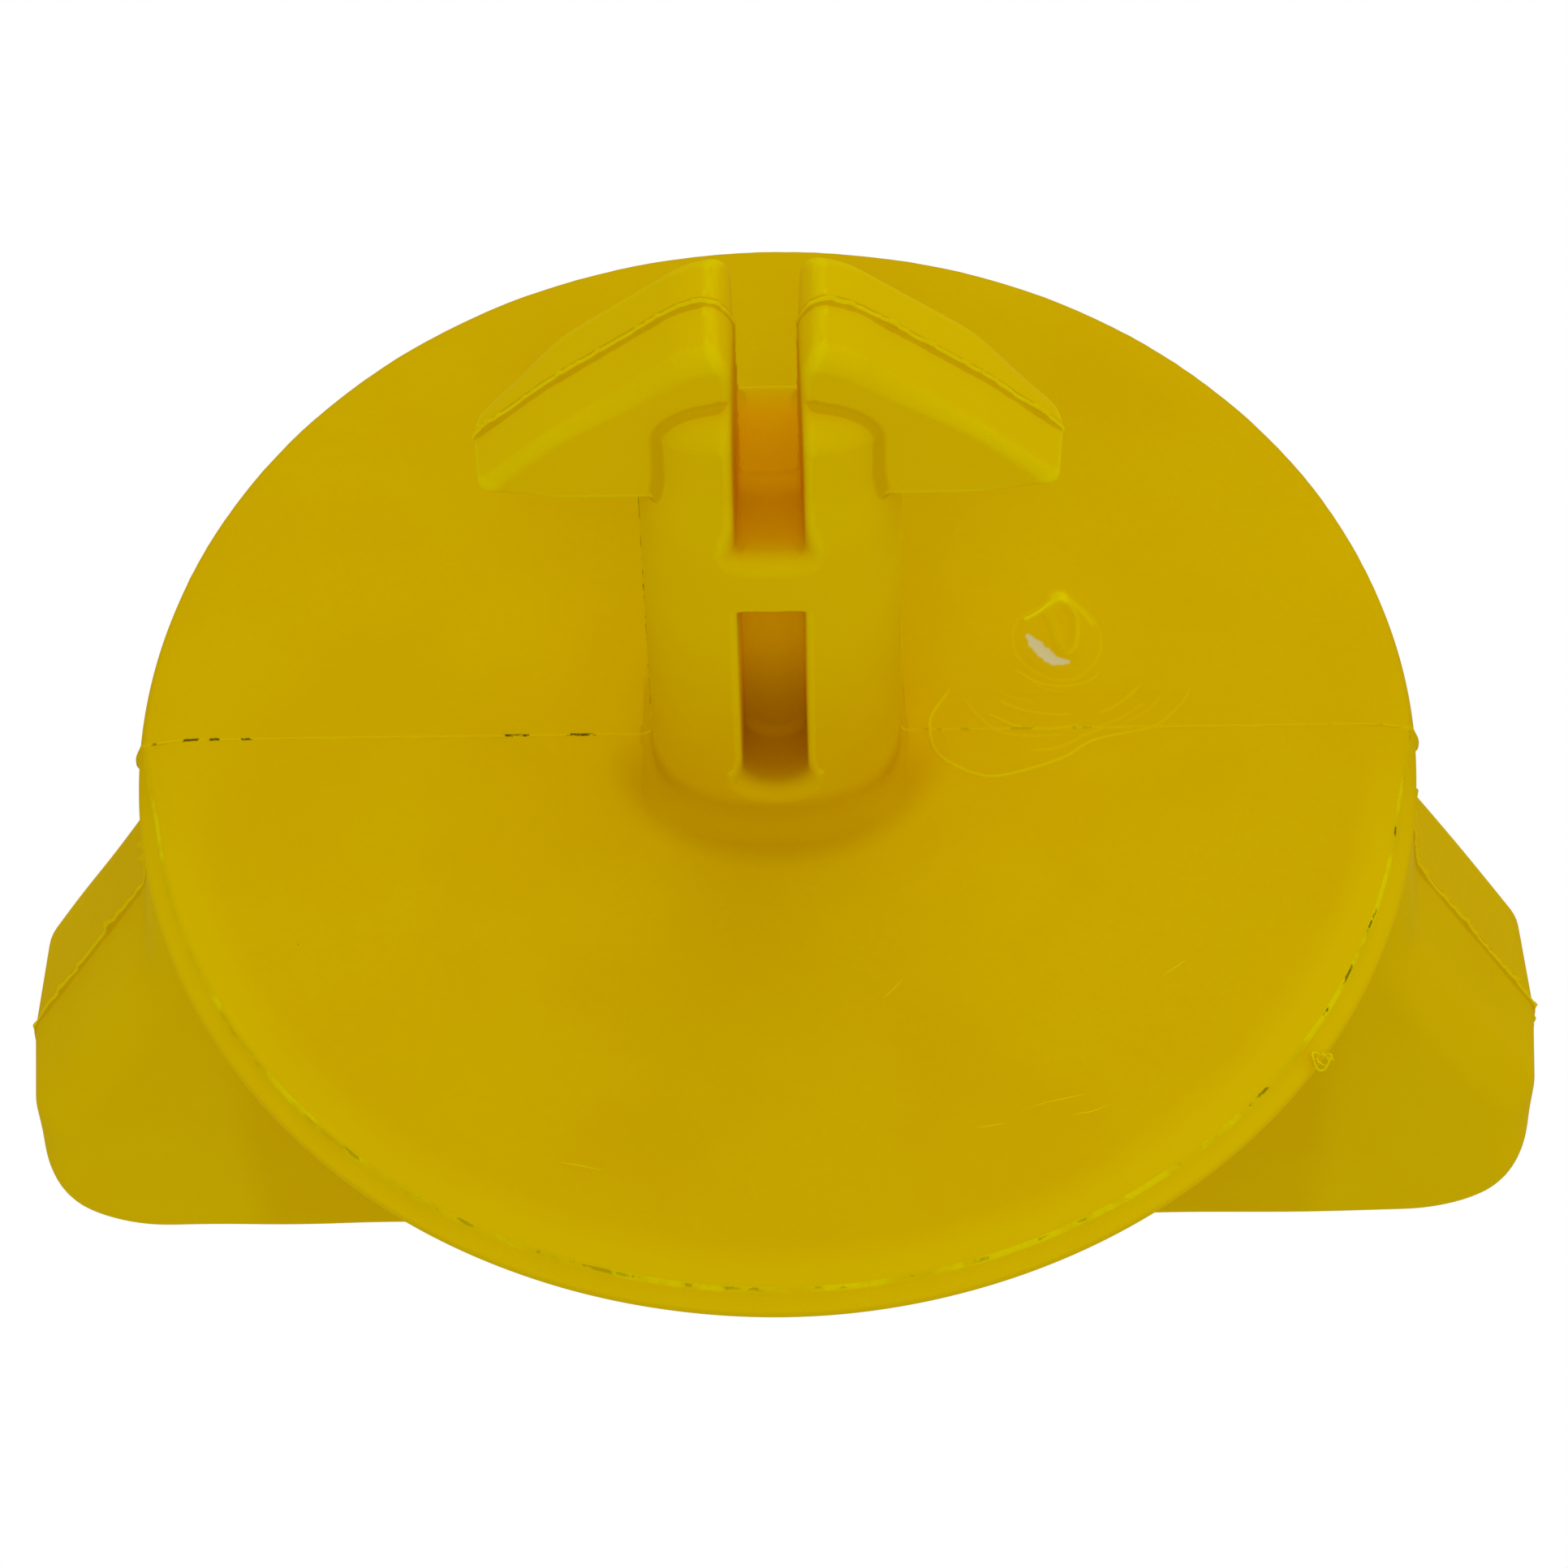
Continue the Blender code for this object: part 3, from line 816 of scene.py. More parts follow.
def turned_grid(profile, turn):
    """Places (x, y, z) for a profile turned about the Y axis, one row per angle."""
    radius, depth = profile[:, 0], profile[:, 1]
    x, z = radius * np.cos(turn), radius * np.sin(turn)
    return x, np.broadcast_to(FRONT_Y + depth, x.shape), z


def closed_grid(name, x, y, z):
    """A mesh from places that go round in the first direction and end in a pole each way."""
    rows, columns = x.shape
    vertices = np.stack([x, y, z], -1).reshape(-1, 3)
    poles = np.array([[0, y[:, 0].mean(), 0], [0, y[:, -1].mean(), 0]])
    vertices = np.concatenate([vertices, poles])
    row = np.arange(rows)[:, None]
    column = np.arange(columns - 1)[None, :]
    near = row * columns + column
    far = (row + 1) % rows * columns + column
    quads = np.stack([near, near + 1, far + 1, far], -1).reshape(-1, 4)
    ring = np.arange(rows)
    after = (ring + 1) % rows
    first = np.stack([ring * columns, after * columns, np.full(rows, rows * columns)], -1)
    last = np.stack([after * columns + columns - 1, ring * columns + columns - 1,
                     np.full(rows, rows * columns + 1)], -1)
    return closed_piece(name, vertices, quads.tolist() + first.tolist() + last.tolist())


# %% Turn the disc
AROUND = 1160
disc_curve = disc_profile()
turn = np.linspace(0, math.tau, AROUND, endpoint=False)[:, None]
disc_x, disc_y, disc_z = turned_grid(disc_curve, turn)
front_share = smoothstep(BACK_Y - disc_y, 0.5, 1.5)
disc_y = disc_y + DISC_DRAFT * np.abs(disc_z) * (2 * front_share - 1)
disc_y = disc_y + slow_waves(disc_x, disc_z)

# %% [markdown]
# ### The disc's flash
#
# The thread of flash sits on the front edge, and it is thickest at one place low on the left. Its
# height is a few waves round the disc that must meet after a full turn, so each wave has a whole
# number of crests. The same places are then moved outwards and forwards by that height.

# %% Raise the disc's flash and set the lower edge back
LOW_EDGE_SET_BACK = 0.5
THICK_FLASH_AT = 141
THICK_FLASH_SPREAD = 13.0
LEAST_EDGE_FLASH = 0.012
EDGE_FLASH = 0.06
THICK_FLASH = 0.15
EDGE_FLASH_HALF_WIDTH = 0.13
FLASH_OUTWARD = 0.75
FLASH_FORWARD = 0.65
SIDE_FLASH = 0.16
SIDE_FLASH_HALF_WIDTH = 0.12


def round_the_disc(turn, waves, seed):
    """Smooth irregular waves between about -1 and 1 round the disc, with no seam."""
    rng = np.random.default_rng(seed)
    counts = np.round(waves * rng.uniform(0.5, 1.6, 7))
    total = sum(np.sin(count * turn + rng.uniform(0, math.tau)) for count in counts)
    return total / 3.0


below = np.degrees(np.angle(np.exp(1j * turn)))
thick_flash = np.exp(-((below + THICK_FLASH_AT) / THICK_FLASH_SPREAD) ** 2)
rough_flash = 0.55 + 0.5 * round_the_disc(turn, 37, 12) + 0.35 * round_the_disc(turn, 131, 13)
lower_half = smoothstep(-below, 4.0, 14.0) * smoothstep(below, -176.0, -166.0)
edge_flash = LEAST_EDGE_FLASH + (EDGE_FLASH + THICK_FLASH * thick_flash) * lower_half
edge_flash = edge_flash * np.clip(rough_flash, 0.2, 1.4)

edge_index = np.argmin(np.abs(disc_curve[:, 0] - EDGE_R) + np.abs(disc_curve[:, 1] - EDGE_DROP))
along = np.concatenate([[0], np.cumsum(np.hypot(*np.diff(disc_curve, axis=0).T))])
to_edge = along - along[edge_index]
ridge = np.exp(-(to_edge / EDGE_FLASH_HALF_WIDTH) ** 2)[None, :] * edge_flash
on_side = smoothstep(np.hypot(disc_x, disc_z), EDGE_R - 0.6, EDGE_R - 0.1)
side_flash = SIDE_FLASH * np.exp(-(disc_z / SIDE_FLASH_HALF_WIDTH) ** 2) * on_side
set_back = smoothstep(to_edge, -EDGE_BAND, 0.0) * smoothstep(-to_edge, -1.1, 0.0)
set_back = LOW_EDGE_SET_BACK * set_back[None, :] * smoothstep(-disc_z, -1.0, 4.0)
outward = FLASH_OUTWARD * ridge + side_flash - set_back
disc_x = disc_x + np.cos(turn) * outward
disc_z = disc_z + np.sin(turn) * outward
disc_y = disc_y - FLASH_FORWARD * ridge
disc_skin = closed_grid("disc_skin", disc_x, disc_y, disc_z)

# %% [markdown]
# ## Marks of the mould
#
# Three marks tell how the part was made, and they are most of its character. The parting line
# crosses the disc's face on both sides of the stem as a low thread. To the right of the stem is
# the gate, where the plastic was let in: a torn nib beside a pale scar, with a lobe of slow,
# half-frozen plastic round it whose folds show as fine arcs. And small threads of flash and
# scratches lie here and there.

# %% Threads on the face
THREAD_ROUND = 8


def face_y(x, z):
    """The disc's front face in front of a place, with its draft and its slow waves."""
    return FRONT_Y + DISC_DRAFT * np.abs(z) + slow_waves(x, z)


def thread(name, path_x, path_y, path_z, half_width, height, thin):
    """A low bead laid on the disc's face along a path, tapered to nothing at both ends.

    Its section is an ellipse half sunk into the face: the half width lies in the face, and the
    height stands along -Y. The thinner the plastic is, the brighter it looks, and the value
    "thin" carries that to the material.
    """
    step = np.stack([np.gradient(path_x), np.gradient(path_z)], -1)
    step = step / np.linalg.norm(step, axis=1)[:, None]
    side_x, side_z = -step[:, 1], step[:, 0]
    turn = np.linspace(0, math.tau, THREAD_ROUND, endpoint=False)
    across = np.cos(turn)[None, :] * half_width[:, None]
    up = np.sin(turn)[None, :] * height[:, None]
    x = path_x[:, None] + side_x[:, None] * across
    z = path_z[:, None] + side_z[:, None] * across
    y = path_y[:, None] - up
    count = len(path_x)
    vertices = np.stack([x, y, z], -1).reshape(-1, 3)
    ends = np.array([[path_x[0], path_y[0], path_z[0]], [path_x[-1], path_y[-1], path_z[-1]]])
    row = np.arange(count - 1)[:, None] * THREAD_ROUND
    column = np.arange(THREAD_ROUND)[None, :]
    after = (column + 1) % THREAD_ROUND
    quads = np.stack([row + column, row + after, row + THREAD_ROUND + after,
                      row + THREAD_ROUND + column], -1).reshape(-1, 4)
    ring = np.arange(THREAD_ROUND)
    next_ring = (ring + 1) % THREAD_ROUND
    last = (count - 1) * THREAD_ROUND
    start = np.stack([next_ring, ring, np.full(THREAD_ROUND, count * THREAD_ROUND)], -1)
    end = np.stack([last + ring, last + next_ring,
                    np.full(THREAD_ROUND, count * THREAD_ROUND + 1)], -1)
    return closed_piece(name, np.concatenate([vertices, ends]),
                        quads.tolist() + start.tolist() + end.tolist(),
                        thin=np.full(len(vertices) + len(ends), thin))


# %% The parting line on both sides of the stem
PARTING_START_X = 5.4
PARTING_END_X = EDGE_R - 0.05
PARTING_HALF_WIDTH = 0.06
PARTING_HEIGHT = 0.035
PARTING_WANDER = 0.015
PARTING_SINK = 0.01


def parting_thread(name, start, end, seed):
    """The parting line from one place to another across the face, at Z = 0."""
    x = np.linspace(start, end, 700)
    z = PARTING_WANDER * ripple(x, 0.0, 1.7, seed)
    inward = EDGE_R - np.abs(x)
    taper = smoothstep(np.abs(x), 5.6, 6.4) * smoothstep(inward, -0.1, 0.3)
    rough = 0.7 + 0.3 * ripple(x, 0.0, 1.1, seed + 1)
    y = face_y(x, z) + edge_roll(inward) + PARTING_SINK
    half_width = PARTING_HALF_WIDTH * (0.3 + taper)
    return thread(name, x, y, z, half_width, PARTING_HEIGHT * rough * taper + 0.004, thin=0.0)


marks = [
    parting_thread("parting_left", -PARTING_END_X, -PARTING_START_X, 21),
    parting_thread("parting_right", PARTING_START_X, PARTING_END_X, 22),
]

# %% [markdown]
# ### The gate
#
# The gate patch is a height over the face on a fine grid. The lobe is a film a few hundredths of
# a millimetre thick with a raised rim, and its folds are thin ridges along curves. Each ridge's
# height falls off with the distance to its curve. The nib stands out furthest, and a scooped
# tongue lies beside it.

# %% Helpers: curves on the face


def curve_through(points, count=60):
    """A smooth curve through points (Catmull-Rom), as places along it."""
    p = np.array(points, float)
    p = np.concatenate([[2 * p[0] - p[1]], p, [2 * p[-1] - p[-2]]])
    t = np.linspace(0, len(p) - 3, count, endpoint=False)
    k = t.astype(int)
    f = (t - k)[:, None]
    a, b, c, d = p[k], p[k + 1], p[k + 2], p[k + 3]
    places = 0.5 * (2 * b + (c - a) * f + (2 * a - 5 * b + 4 * c - d) * f ** 2
                    + (3 * b - a - 3 * c + d) * f ** 3)
    return np.concatenate([places, p[-2:-1]])


def curve_distance(points, u, v):
    """Distance from places (u, v) to a curve, and the share of the way along it."""
    nearest = np.full(u.shape, np.inf)
    share = np.zeros(u.shape)
    for index in range(len(points) - 1):
        (au, av), (bu, bv) = points[index], points[index + 1]
        du, dv = bu - au, bv - av
        at = np.clip(((u - au) * du + (v - av) * dv) / (du * du + dv * dv + 1e-12), 0, 1)
        far = np.hypot(u - au - at * du, v - av - at * dv)
        share = np.where(far < nearest, (index + at) / (len(points) - 1), share)
        nearest = np.minimum(nearest, far)
    return nearest, share


def ridge_along(points, u, v, width, height):
    """A thin ridge along a curve that fades at both ends."""
    far, share = curve_distance(curve_through(points), u, v)
    fade = smoothstep(share, 0.0, 0.12) * smoothstep(1 - share, 0.0, 0.12)
    return height * fade * np.exp(-(far / width) ** 2)


# %% Where the gate's folds and rims run
LOBE_RIM = [
    (6.9, 2.5), (6.53, 1.85), (5.99, 0.95), (5.87, 0.23), (6.04, -0.67), (6.55, -1.3),
    (7.71, -1.94), (8.82, -1.99), (11.05, -1.25), (12.41, -0.37), (14.65, 0.19), (15.6, 0.95),
    (16.19, 1.76), (16.5, 2.6),
]
LOBE_TOP = [(16.2, 4.6), (14.4, 6.6), (11.6, 7.3), (9.0, 6.5), (7.6, 4.6)]
NIB_RIDGE = [(9.7, 5.5), (10.05, 5.66), (10.5, 5.98), (10.97, 6.4), (11.27, 6.63)]
NIB_FLANK = [(11.27, 6.63), (11.75, 6.35), (12.25, 5.75), (12.62, 5.1)]
TONGUE = [
    (10.62, 5.75), (10.79, 5.3), (10.95, 4.7), (11.1, 4.1), (11.45, 3.78), (11.82, 4.1),
    (11.96, 5.0), (11.9, 5.8), (11.3, 6.45),
]
SCAR = [(9.95, 4.75), (10.2, 4.33), (10.5, 3.95), (10.95, 3.5), (11.5, 3.42)]
EGG = [
    (9.3, 4.9), (9.6, 5.6), (10.6, 6.3), (11.35, 6.75), (12.2, 6.1), (12.75, 5.2),
    (12.85, 4.3), (12.6, 3.45), (11.9, 2.7), (11.0, 2.55), (10.1, 3.0), (9.4, 3.9),
]
FOLDS = [
    ([(8.53, 1.65), (9.63, 1.09), (10.81, 0.86), (11.63, 0.9)], 0.026),
    ([(8.1, 1.05), (9.02, 0.47), (9.91, 0.19), (10.94, 0.18), (11.95, 0.4)], 0.034),
    ([(7.2, 1.8), (7.9, 0.75), (8.7, 0.05), (9.9, -0.15), (11.4, -0.1)], 0.018),
    ([(9.7, -0.88), (10.99, -0.72), (12.04, -0.14), (12.9, 0.2)], 0.024),
    ([(12.57, 0.85), (13.5, 1.42), (14.38, 2.3)], 0.026),
    ([(12.2, 0.1), (13.4, 0.62), (14.6, 1.5)], 0.014),
    ([(13.4, 0.3), (14.4, 0.9), (15.2, 1.8)], 0.012),
    ([(8.5, 2.2), (9.3, 1.7), (10.1, 1.5)], 0.010),
    ([(9.2, 3.3), (10.0, 2.6), (11.0, 2.25), (12.1, 2.4), (12.9, 3.0)], 0.022),
    ([(9.6, 3.0), (10.4, 2.2), (11.4, 1.95)], 0.010),
]

# %% The gate's height over the face
FILM = 0.016
RIM_HEIGHT = 0.05
RIM_WIDTH = 0.06
FOLD_WIDTH = 0.058
MOUND = 0.085
EGG_RIDGE = 0.016
EGG_RIDGE_WIDTH = 0.07
TONGUE_HEIGHT = 0.13
TONGUE_HOLLOW = 0.08
TONGUE_RIDGE = 0.04
TONGUE_RIDGE_WIDTH = 0.06
SCOOP_DEPTH = 0.055
SCOOP_WIDTH = 0.36
NIB_HEIGHT = 0.3
NIB_WIDTH = 0.17
NIB_SHARPNESS = 1.2
THIN_RIDGE = 0.09


def inside_of(points, u, v, count):
    """Distance to a closed curve through points, negative inside."""
    return outline_distance(curve_through(points + points[:1], count), u, v)


def gate_height(u, v):
    """How far the gate patch stands in front of the face: film, rim, folds, mound, nib and scoop.

    The second value is the height of the thin ridges alone.
    """
    lobe = inside_of(LOBE_RIM + LOBE_TOP, u, v, 160)
    height = FILM * smoothstep(-lobe, 0.0, 0.15) * smoothstep(-v, -3.5, 0.5)
    weaker = 0.45 + 0.55 * smoothstep(-u, -14.5, -12.0)
    ridges = ridge_along(LOBE_RIM, u, v, RIM_WIDTH, RIM_HEIGHT) * weaker
    for points, tall in FOLDS:
        ridges = ridges + ridge_along(points, u, v, FOLD_WIDTH, tall)
    egg = inside_of(EGG, u, v, 140)
    height = height + MOUND * smoothstep(-egg, -0.15, 0.7)
    ridges = ridges + EGG_RIDGE * np.exp(-(egg / EGG_RIDGE_WIDTH) ** 2)
    tongue = inside_of(TONGUE, u, v, 90)
    height = height + TONGUE_HEIGHT * smoothstep(-tongue, -0.06, 0.1)
    height = height - TONGUE_HOLLOW * smoothstep(-tongue, 0.1, 0.45)
    ridges = ridges + TONGUE_RIDGE * np.exp(-(tongue / TONGUE_RIDGE_WIDTH) ** 2)
    scoop, _ = curve_distance(curve_through(SCAR), u, v)
    height = height - SCOOP_DEPTH * np.exp(-(scoop / SCOOP_WIDTH) ** 2)
    ridges = ridges + ridge_along(NIB_RIDGE, u, v, 0.09, 0.10)
    ridges = ridges + ridge_along(NIB_FLANK, u, v, 0.10, 0.04)
    tip_u, tip_v = NIB_RIDGE[-1]
    tip = np.hypot(u - tip_u, v - tip_v)
    ridges = ridges + NIB_HEIGHT * np.exp(-(tip / NIB_WIDTH) ** NIB_SHARPNESS)
    return height + ridges, ridges


# %% The gate patch
GATE_LOW = (5.1, -2.9)
GATE_HIGH = (17.2, 7.8)
GATE_SHIFT = (0.2, -0.22)
GATE_STEP = 0.045
GATE_SINK = 0.006
GATE_BACK = 0.3
SCAR_HALF_WIDTH = 0.27


def gate_pale(u, v):
    """1 on the pale scar and 0 off it: a band along a curve, narrower at its ends, and ragged."""
    far, share = curve_distance(curve_through(SCAR), u, v)
    half_width = SCAR_HALF_WIDTH * np.sqrt(np.clip(share * (1 - share) * 4, 0.12, 1))
    shift_u, shift_v = GATE_SHIFT
    ragged = 0.03 * ripple(u + shift_u, v + shift_v, 0.35, 9)
    return smoothstep(half_width - far + ragged, -0.03, 0.05)


def gate_patch():
    """The patch as a closed thin slab: the height on top, and a flat back inside the disc.

    Where its height is nothing it lies just under the face, so that it dips in without an edge.
    """
    us, vs = [np.arange(low, high, GATE_STEP) for low, high in zip(GATE_LOW, GATE_HIGH)]
    u, v = np.meshgrid(us, vs, indexing="ij")
    height, ridges = gate_height(u, v)
    x, z = u + GATE_SHIFT[0], v + GATE_SHIFT[1]
    y = face_y(x, z) - height + GATE_SINK
    y[[0, -1], :] = FRONT_Y + GATE_BACK
    y[:, [0, -1]] = FRONT_Y + GATE_BACK
    rows, columns = u.shape
    index = np.arange(rows * columns).reshape(rows, columns)
    quads = np.stack([index[:-1, :-1], index[1:, :-1], index[1:, 1:], index[:-1, 1:]], -1)
    border = np.concatenate([index[0, :-1], index[:-1, -1], index[-1, :0:-1], index[:0:-1, 0]])
    return closed_piece("gate_scar", np.stack([x, y, z], -1).reshape(-1, 3),
                        quads.reshape(-1, 4).tolist() + [border.tolist()],
                        pale=gate_pale(u, v).ravel(),
                        thin=np.clip(ridges / THIN_RIDGE, 0, 1).ravel())


marks.append(gate_patch())

# %% Scratches on the face
SCRATCH_HALF_WIDTH = 0.035
SCRATCHES = [
    # x, z, length, slope, height
    (10.6, -17.0, 2.4, 0.25, 0.012),
    (11.8, -17.5, 1.6, 0.3, 0.010),
    (8.0, -18.1, 1.2, 0.12, 0.008),
    (-7.5, -19.6, 1.8, -0.2, 0.008),
    (4.4, -12.0, 0.8, 1.1, 0.008),
    (15.3, -11.2, 1.1, 0.7, 0.008),
]
share = np.linspace(0, 1, 160)
swell = np.sin(math.pi * share)
for number, (x, z, length, slope, height) in enumerate(SCRATCHES):
    path_x = x + length * (share - 0.5)
    path_z = z + length * slope * (share - 0.5) + 0.04 * ripple(path_x, 0.0, 1.3, number)
    marks.append(thread("scratch_%d" % number, path_x, face_y(path_x, path_z), path_z,
                        SCRATCH_HALF_WIDTH * swell + 0.002, height * swell + 0.001, thin=0.6))

# %% A curl of flash on the rim
CURL_X = 20.78
CURL_Z = -14.98
CURL_TURNS = 2.6
CURL_R = 0.42
CURL_CLOSES_BY = 0.26
CURL_HALF_WIDTH = 0.045
CURL_HEIGHT = 0.05
share = np.linspace(0, 1, 240)
curl_turn = math.tau * CURL_TURNS * share
curl_r = CURL_R - CURL_CLOSES_BY * share + 0.04 * np.sin(curl_turn * 3.1)
curl_x = CURL_X + curl_r * np.cos(curl_turn)
curl_z = CURL_Z + 0.8 * curl_r * np.sin(curl_turn)
curl_y = FRONT_Y + 0.9 + 0.25 * np.sin(curl_turn * 1.7)
marks.append(thread("curl_of_flash", curl_x, curl_y, curl_z, np.full_like(share, CURL_HALF_WIDTH),
                    np.full_like(share, CURL_HEIGHT), thin=0.8))

# %% [markdown]
# ## Yellow polyethylene
#
# The plastic is a plain bright yellow that stays waxy, with hardly any gloss. It soaks up all blue
# and some green, so light that bounces about in a deep slot turns orange there. The colour could
# be painted on an image, but that tears where one skin ends and the next begins. Here it is worked
# out in the object's own millimetres, and from values that the meshes carry, so it runs on from
# skin to skin and stays with the plastic when a prong bends. It is laid on in layers, from the
# plain colour to the dirt. First come short names for the steps that every layer needs.

# %% Start the material
PLASTIC = (0.86, 0.57, 0.0)
material = bpy.data.materials.new("yellow_polyethylene")
material.use_nodes = True
tree = material.node_tree
shader = tree.nodes["Principled BSDF"]


def node(kind, **settings):
    """A new node of a kind, with its settings."""
    made = tree.nodes.new(kind)
    for key, value in settings.items():
        setattr(made, key, value)
    return made


def link(source, target):
    """Join an output to an input."""
    tree.links.new(source, target)


def math_node(operation, a, b=None):
    """One step of arithmetic, on outputs or plain numbers."""
    made = node("ShaderNodeMath", operation=operation)
    for slot, value in ((0, a), (1, b)):
        if isinstance(value, float):
            made.inputs[slot].default_value = value
        elif value is not None:
            link(value, made.inputs[slot])
    return made.outputs[0]


def times(first, *others):
    """The product of all the values."""
    for other in others:
        first = math_node("MULTIPLY", first, other)
    return first


def plus(a, b):
    """The sum of two values."""
    return math_node("ADD", a, b)


def minus(a, b):
    """The first value less the second."""
    return math_node("SUBTRACT", a, b)


def larger(a, b):
    """The larger of two values."""
    return math_node("MAXIMUM", a, b)


def without_sign(a):
    """A value's size, whatever its sign."""
    return math_node("ABSOLUTE", a)


def ramp(value, low, high):
    """0 where the value is low, 1 where it is high, and a smooth S between them."""
    made = node("ShaderNodeMapRange", interpolation_type="SMOOTHSTEP")
    link(value, made.inputs["Value"])
    made.inputs["From Min"].default_value = low
    made.inputs["From Max"].default_value = high
    return made.outputs["Result"]


def mix(factor, a, b):
    """From colour a to colour b by a factor. A colour is an output or (red, green, blue)."""
    made = node("ShaderNodeMix", data_type="RGBA")
    link(factor, made.inputs[0])
    for slot, value in ((6, a), (7, b)):
        if isinstance(value, tuple):
            made.inputs[slot].default_value = (*value, 1.0)
        else:
            link(value, made.inputs[slot])
    return made.outputs[2]


def carried(name):
    """A value that the mesh carries at each vertex, and 0 where it carries none."""
    return node("ShaderNodeAttribute", attribute_name=name).outputs["Fac"]


def tinted(red, green):
    """The plastic's colour with its red and its green scaled."""
    return (PLASTIC[0] * red, PLASTIC[1] * green, 0.0)


# %% The object's own millimetres, and noise in them
coordinates = node("ShaderNodeTexCoord")
scale = node("ShaderNodeVectorMath", operation="SCALE")
link(coordinates.outputs["Object"], scale.inputs[0])
scale.inputs["Scale"].default_value = 1 / MM
place = scale.outputs[0]
split = node("ShaderNodeSeparateXYZ")
link(place, split.inputs[0])
x, y, z = split.outputs


def noise(size, detail=2.0, rough=0.5):
    """A cloudy value between 0 and 1 whose clouds are about a size in millimetres."""
    made = node("ShaderNodeTexNoise")
    link(place, made.inputs["Vector"])
    made.inputs["Scale"].default_value = 1 / size
    made.inputs["Detail"].default_value = detail
    made.inputs["Roughness"].default_value = rough
    return made.outputs[0]


# %% [markdown]
# ### The plastic's own colour, and painted light on thin parts
#
# Pigment never mixes fully, so the colour drifts between two yellows over a few millimetres, with
# a finer grain on top. The fork, and the rim's lower half, are painted a little more lemon than the
# disc's face: painted light, for the light that enters these thinner parts and comes out again.

# %% Drift, grain, and painted light on the fork and the rim
LEMON_PAINTED_LIGHT = (0.93, 0.665, 0.0)
GRAIN_STRENGTH = 0.10
PAINTED_LIGHT_ON_FORK = 0.75
PAINTED_LIGHT_ON_RIM = 0.65
drift = ramp(noise(7.0, 3.0), 0.35, 0.65)
colour = mix(drift, tinted(1.01, 1.02), tinted(0.99, 0.975))
grain = ramp(noise(0.35, 4.0, 0.7), 0.25, 0.75)
colour = mix(times(grain, GRAIN_STRENGTH), colour, tinted(0.8, 0.8))
radius = math_node("SQRT", plus(times(x, x), times(z, z)))
# Painted light: the fork and the rim's lower half are painted a more lemon yellow.
on_fork = ramp(y, FRONT_Y - 3.0, FRONT_Y - 14.0)
on_rim = times(ramp(radius, EDGE_R - 2.6, EDGE_R - 0.8), ramp(z, 2.0, -9.0), PAINTED_LIGHT_ON_RIM)
colour = mix(larger(times(on_fork, PAINTED_LIGHT_ON_FORK), on_rim), colour, LEMON_PAINTED_LIGHT)

# %% [markdown]
# ### Painted highlights on edges, painted shade in creases, and painted glow on flash
#
# Edges that stand out get a painted highlight, and creases get a painted shade of deeper yellow.
# Both read the bend that each skin carries. Flash is thin enough to let light through, so it gets
# the brightest painted light of all, a painted glow: along the parting line, on the rim's front
# edge, and on the gate's ridges, which carry how thin they are.

# %% Colour by the bend and by the flash
CREASE_SHADE_COLOUR = (0.74, 0.43, 0.0)
PAINTED_HIGHLIGHT_AND_GLOW = (0.98, 0.82, 0.0)
CREASE_SHADE_STRENGTH = 0.6
EDGE_HIGHLIGHT_STRENGTH = 0.6
EDGE_HIGHLIGHT_LESS_IN_SLOT = 0.45
LINE_FLASH_STRENGTH = 0.22
bend = carried("bend")
# Painted shade in the creases, where the bend is below 0.
colour = mix(times(ramp(bend, -0.08, -0.7), CREASE_SHADE_STRENGTH), colour, CREASE_SHADE_COLOUR)
# Painted highlight on the edges that stand out, weaker in the slot.
narrow = ramp(without_sign(x), 1.9, 1.3)
strength = minus(EDGE_HIGHLIGHT_STRENGTH, times(narrow, EDGE_HIGHLIGHT_LESS_IN_SLOT))
colour = mix(times(ramp(bend, 0.22, 1.4), strength), colour, PAINTED_HIGHLIGHT_AND_GLOW)

# Painted glow on the flash: the parting line, the rim's front edge and the thin ridges.
line_flash = times(ramp(without_sign(z), 0.10, 0.03), LINE_FLASH_STRENGTH)
moved_in = times(ramp(z, 1.0, -4.0), LOW_EDGE_SET_BACK)
off_edge = without_sign(minus(plus(radius, moved_in), EDGE_R + 0.03))
in_front = ramp(y, FRONT_Y + 1.1, FRONT_Y + 0.75)
ragged = plus(times(ramp(noise(2.6, 4.0, 0.65), 0.46, 0.6), 0.75), 0.15)
low_edge = times(ramp(z, 1.0, -5.0), ragged)
rim_flash = times(ramp(off_edge, 0.11, 0.04), in_front, low_edge)
colour = mix(larger(larger(line_flash, rim_flash), carried("thin")), colour, PAINTED_HIGHLIGHT_AND_GLOW)

# %% [markdown]
# ### Specks, dirt, and painted shadow on the rim's edge
#
# A cell pattern gives each small cell its own chance, and a few cells hold one dark dot. Dirt
# sits in the parting line in short dashes that come from a noise cut off at one height. They are
# denser on the left of the disc, and they stop where the clip begins. The sharp front edge of the
# rim gets darker dashes too: strongest at the lower right, and weaker along the rest of the lower
# half, where they are painted shadow under the flash.

# %% Specks
SPECK = (0.03, 0.022, 0.002)
SPECK_CELL = 2.3
LARGEST_SPECK = 0.034
SPECK_RARITY = 0.90
cells = node("ShaderNodeTexVoronoi")
link(place, cells.inputs["Vector"])
cells.inputs["Scale"].default_value = 1 / SPECK_CELL
chance = node("ShaderNodeSeparateColor")
link(cells.outputs["Color"], chance.inputs[0])
dot = math_node("LESS_THAN", cells.outputs["Distance"], times(chance.outputs[1], LARGEST_SPECK))
chosen_cell = math_node("GREATER_THAN", chance.outputs[0], SPECK_RARITY)
colour = mix(times(dot, chosen_cell, 0.8), colour, SPECK)
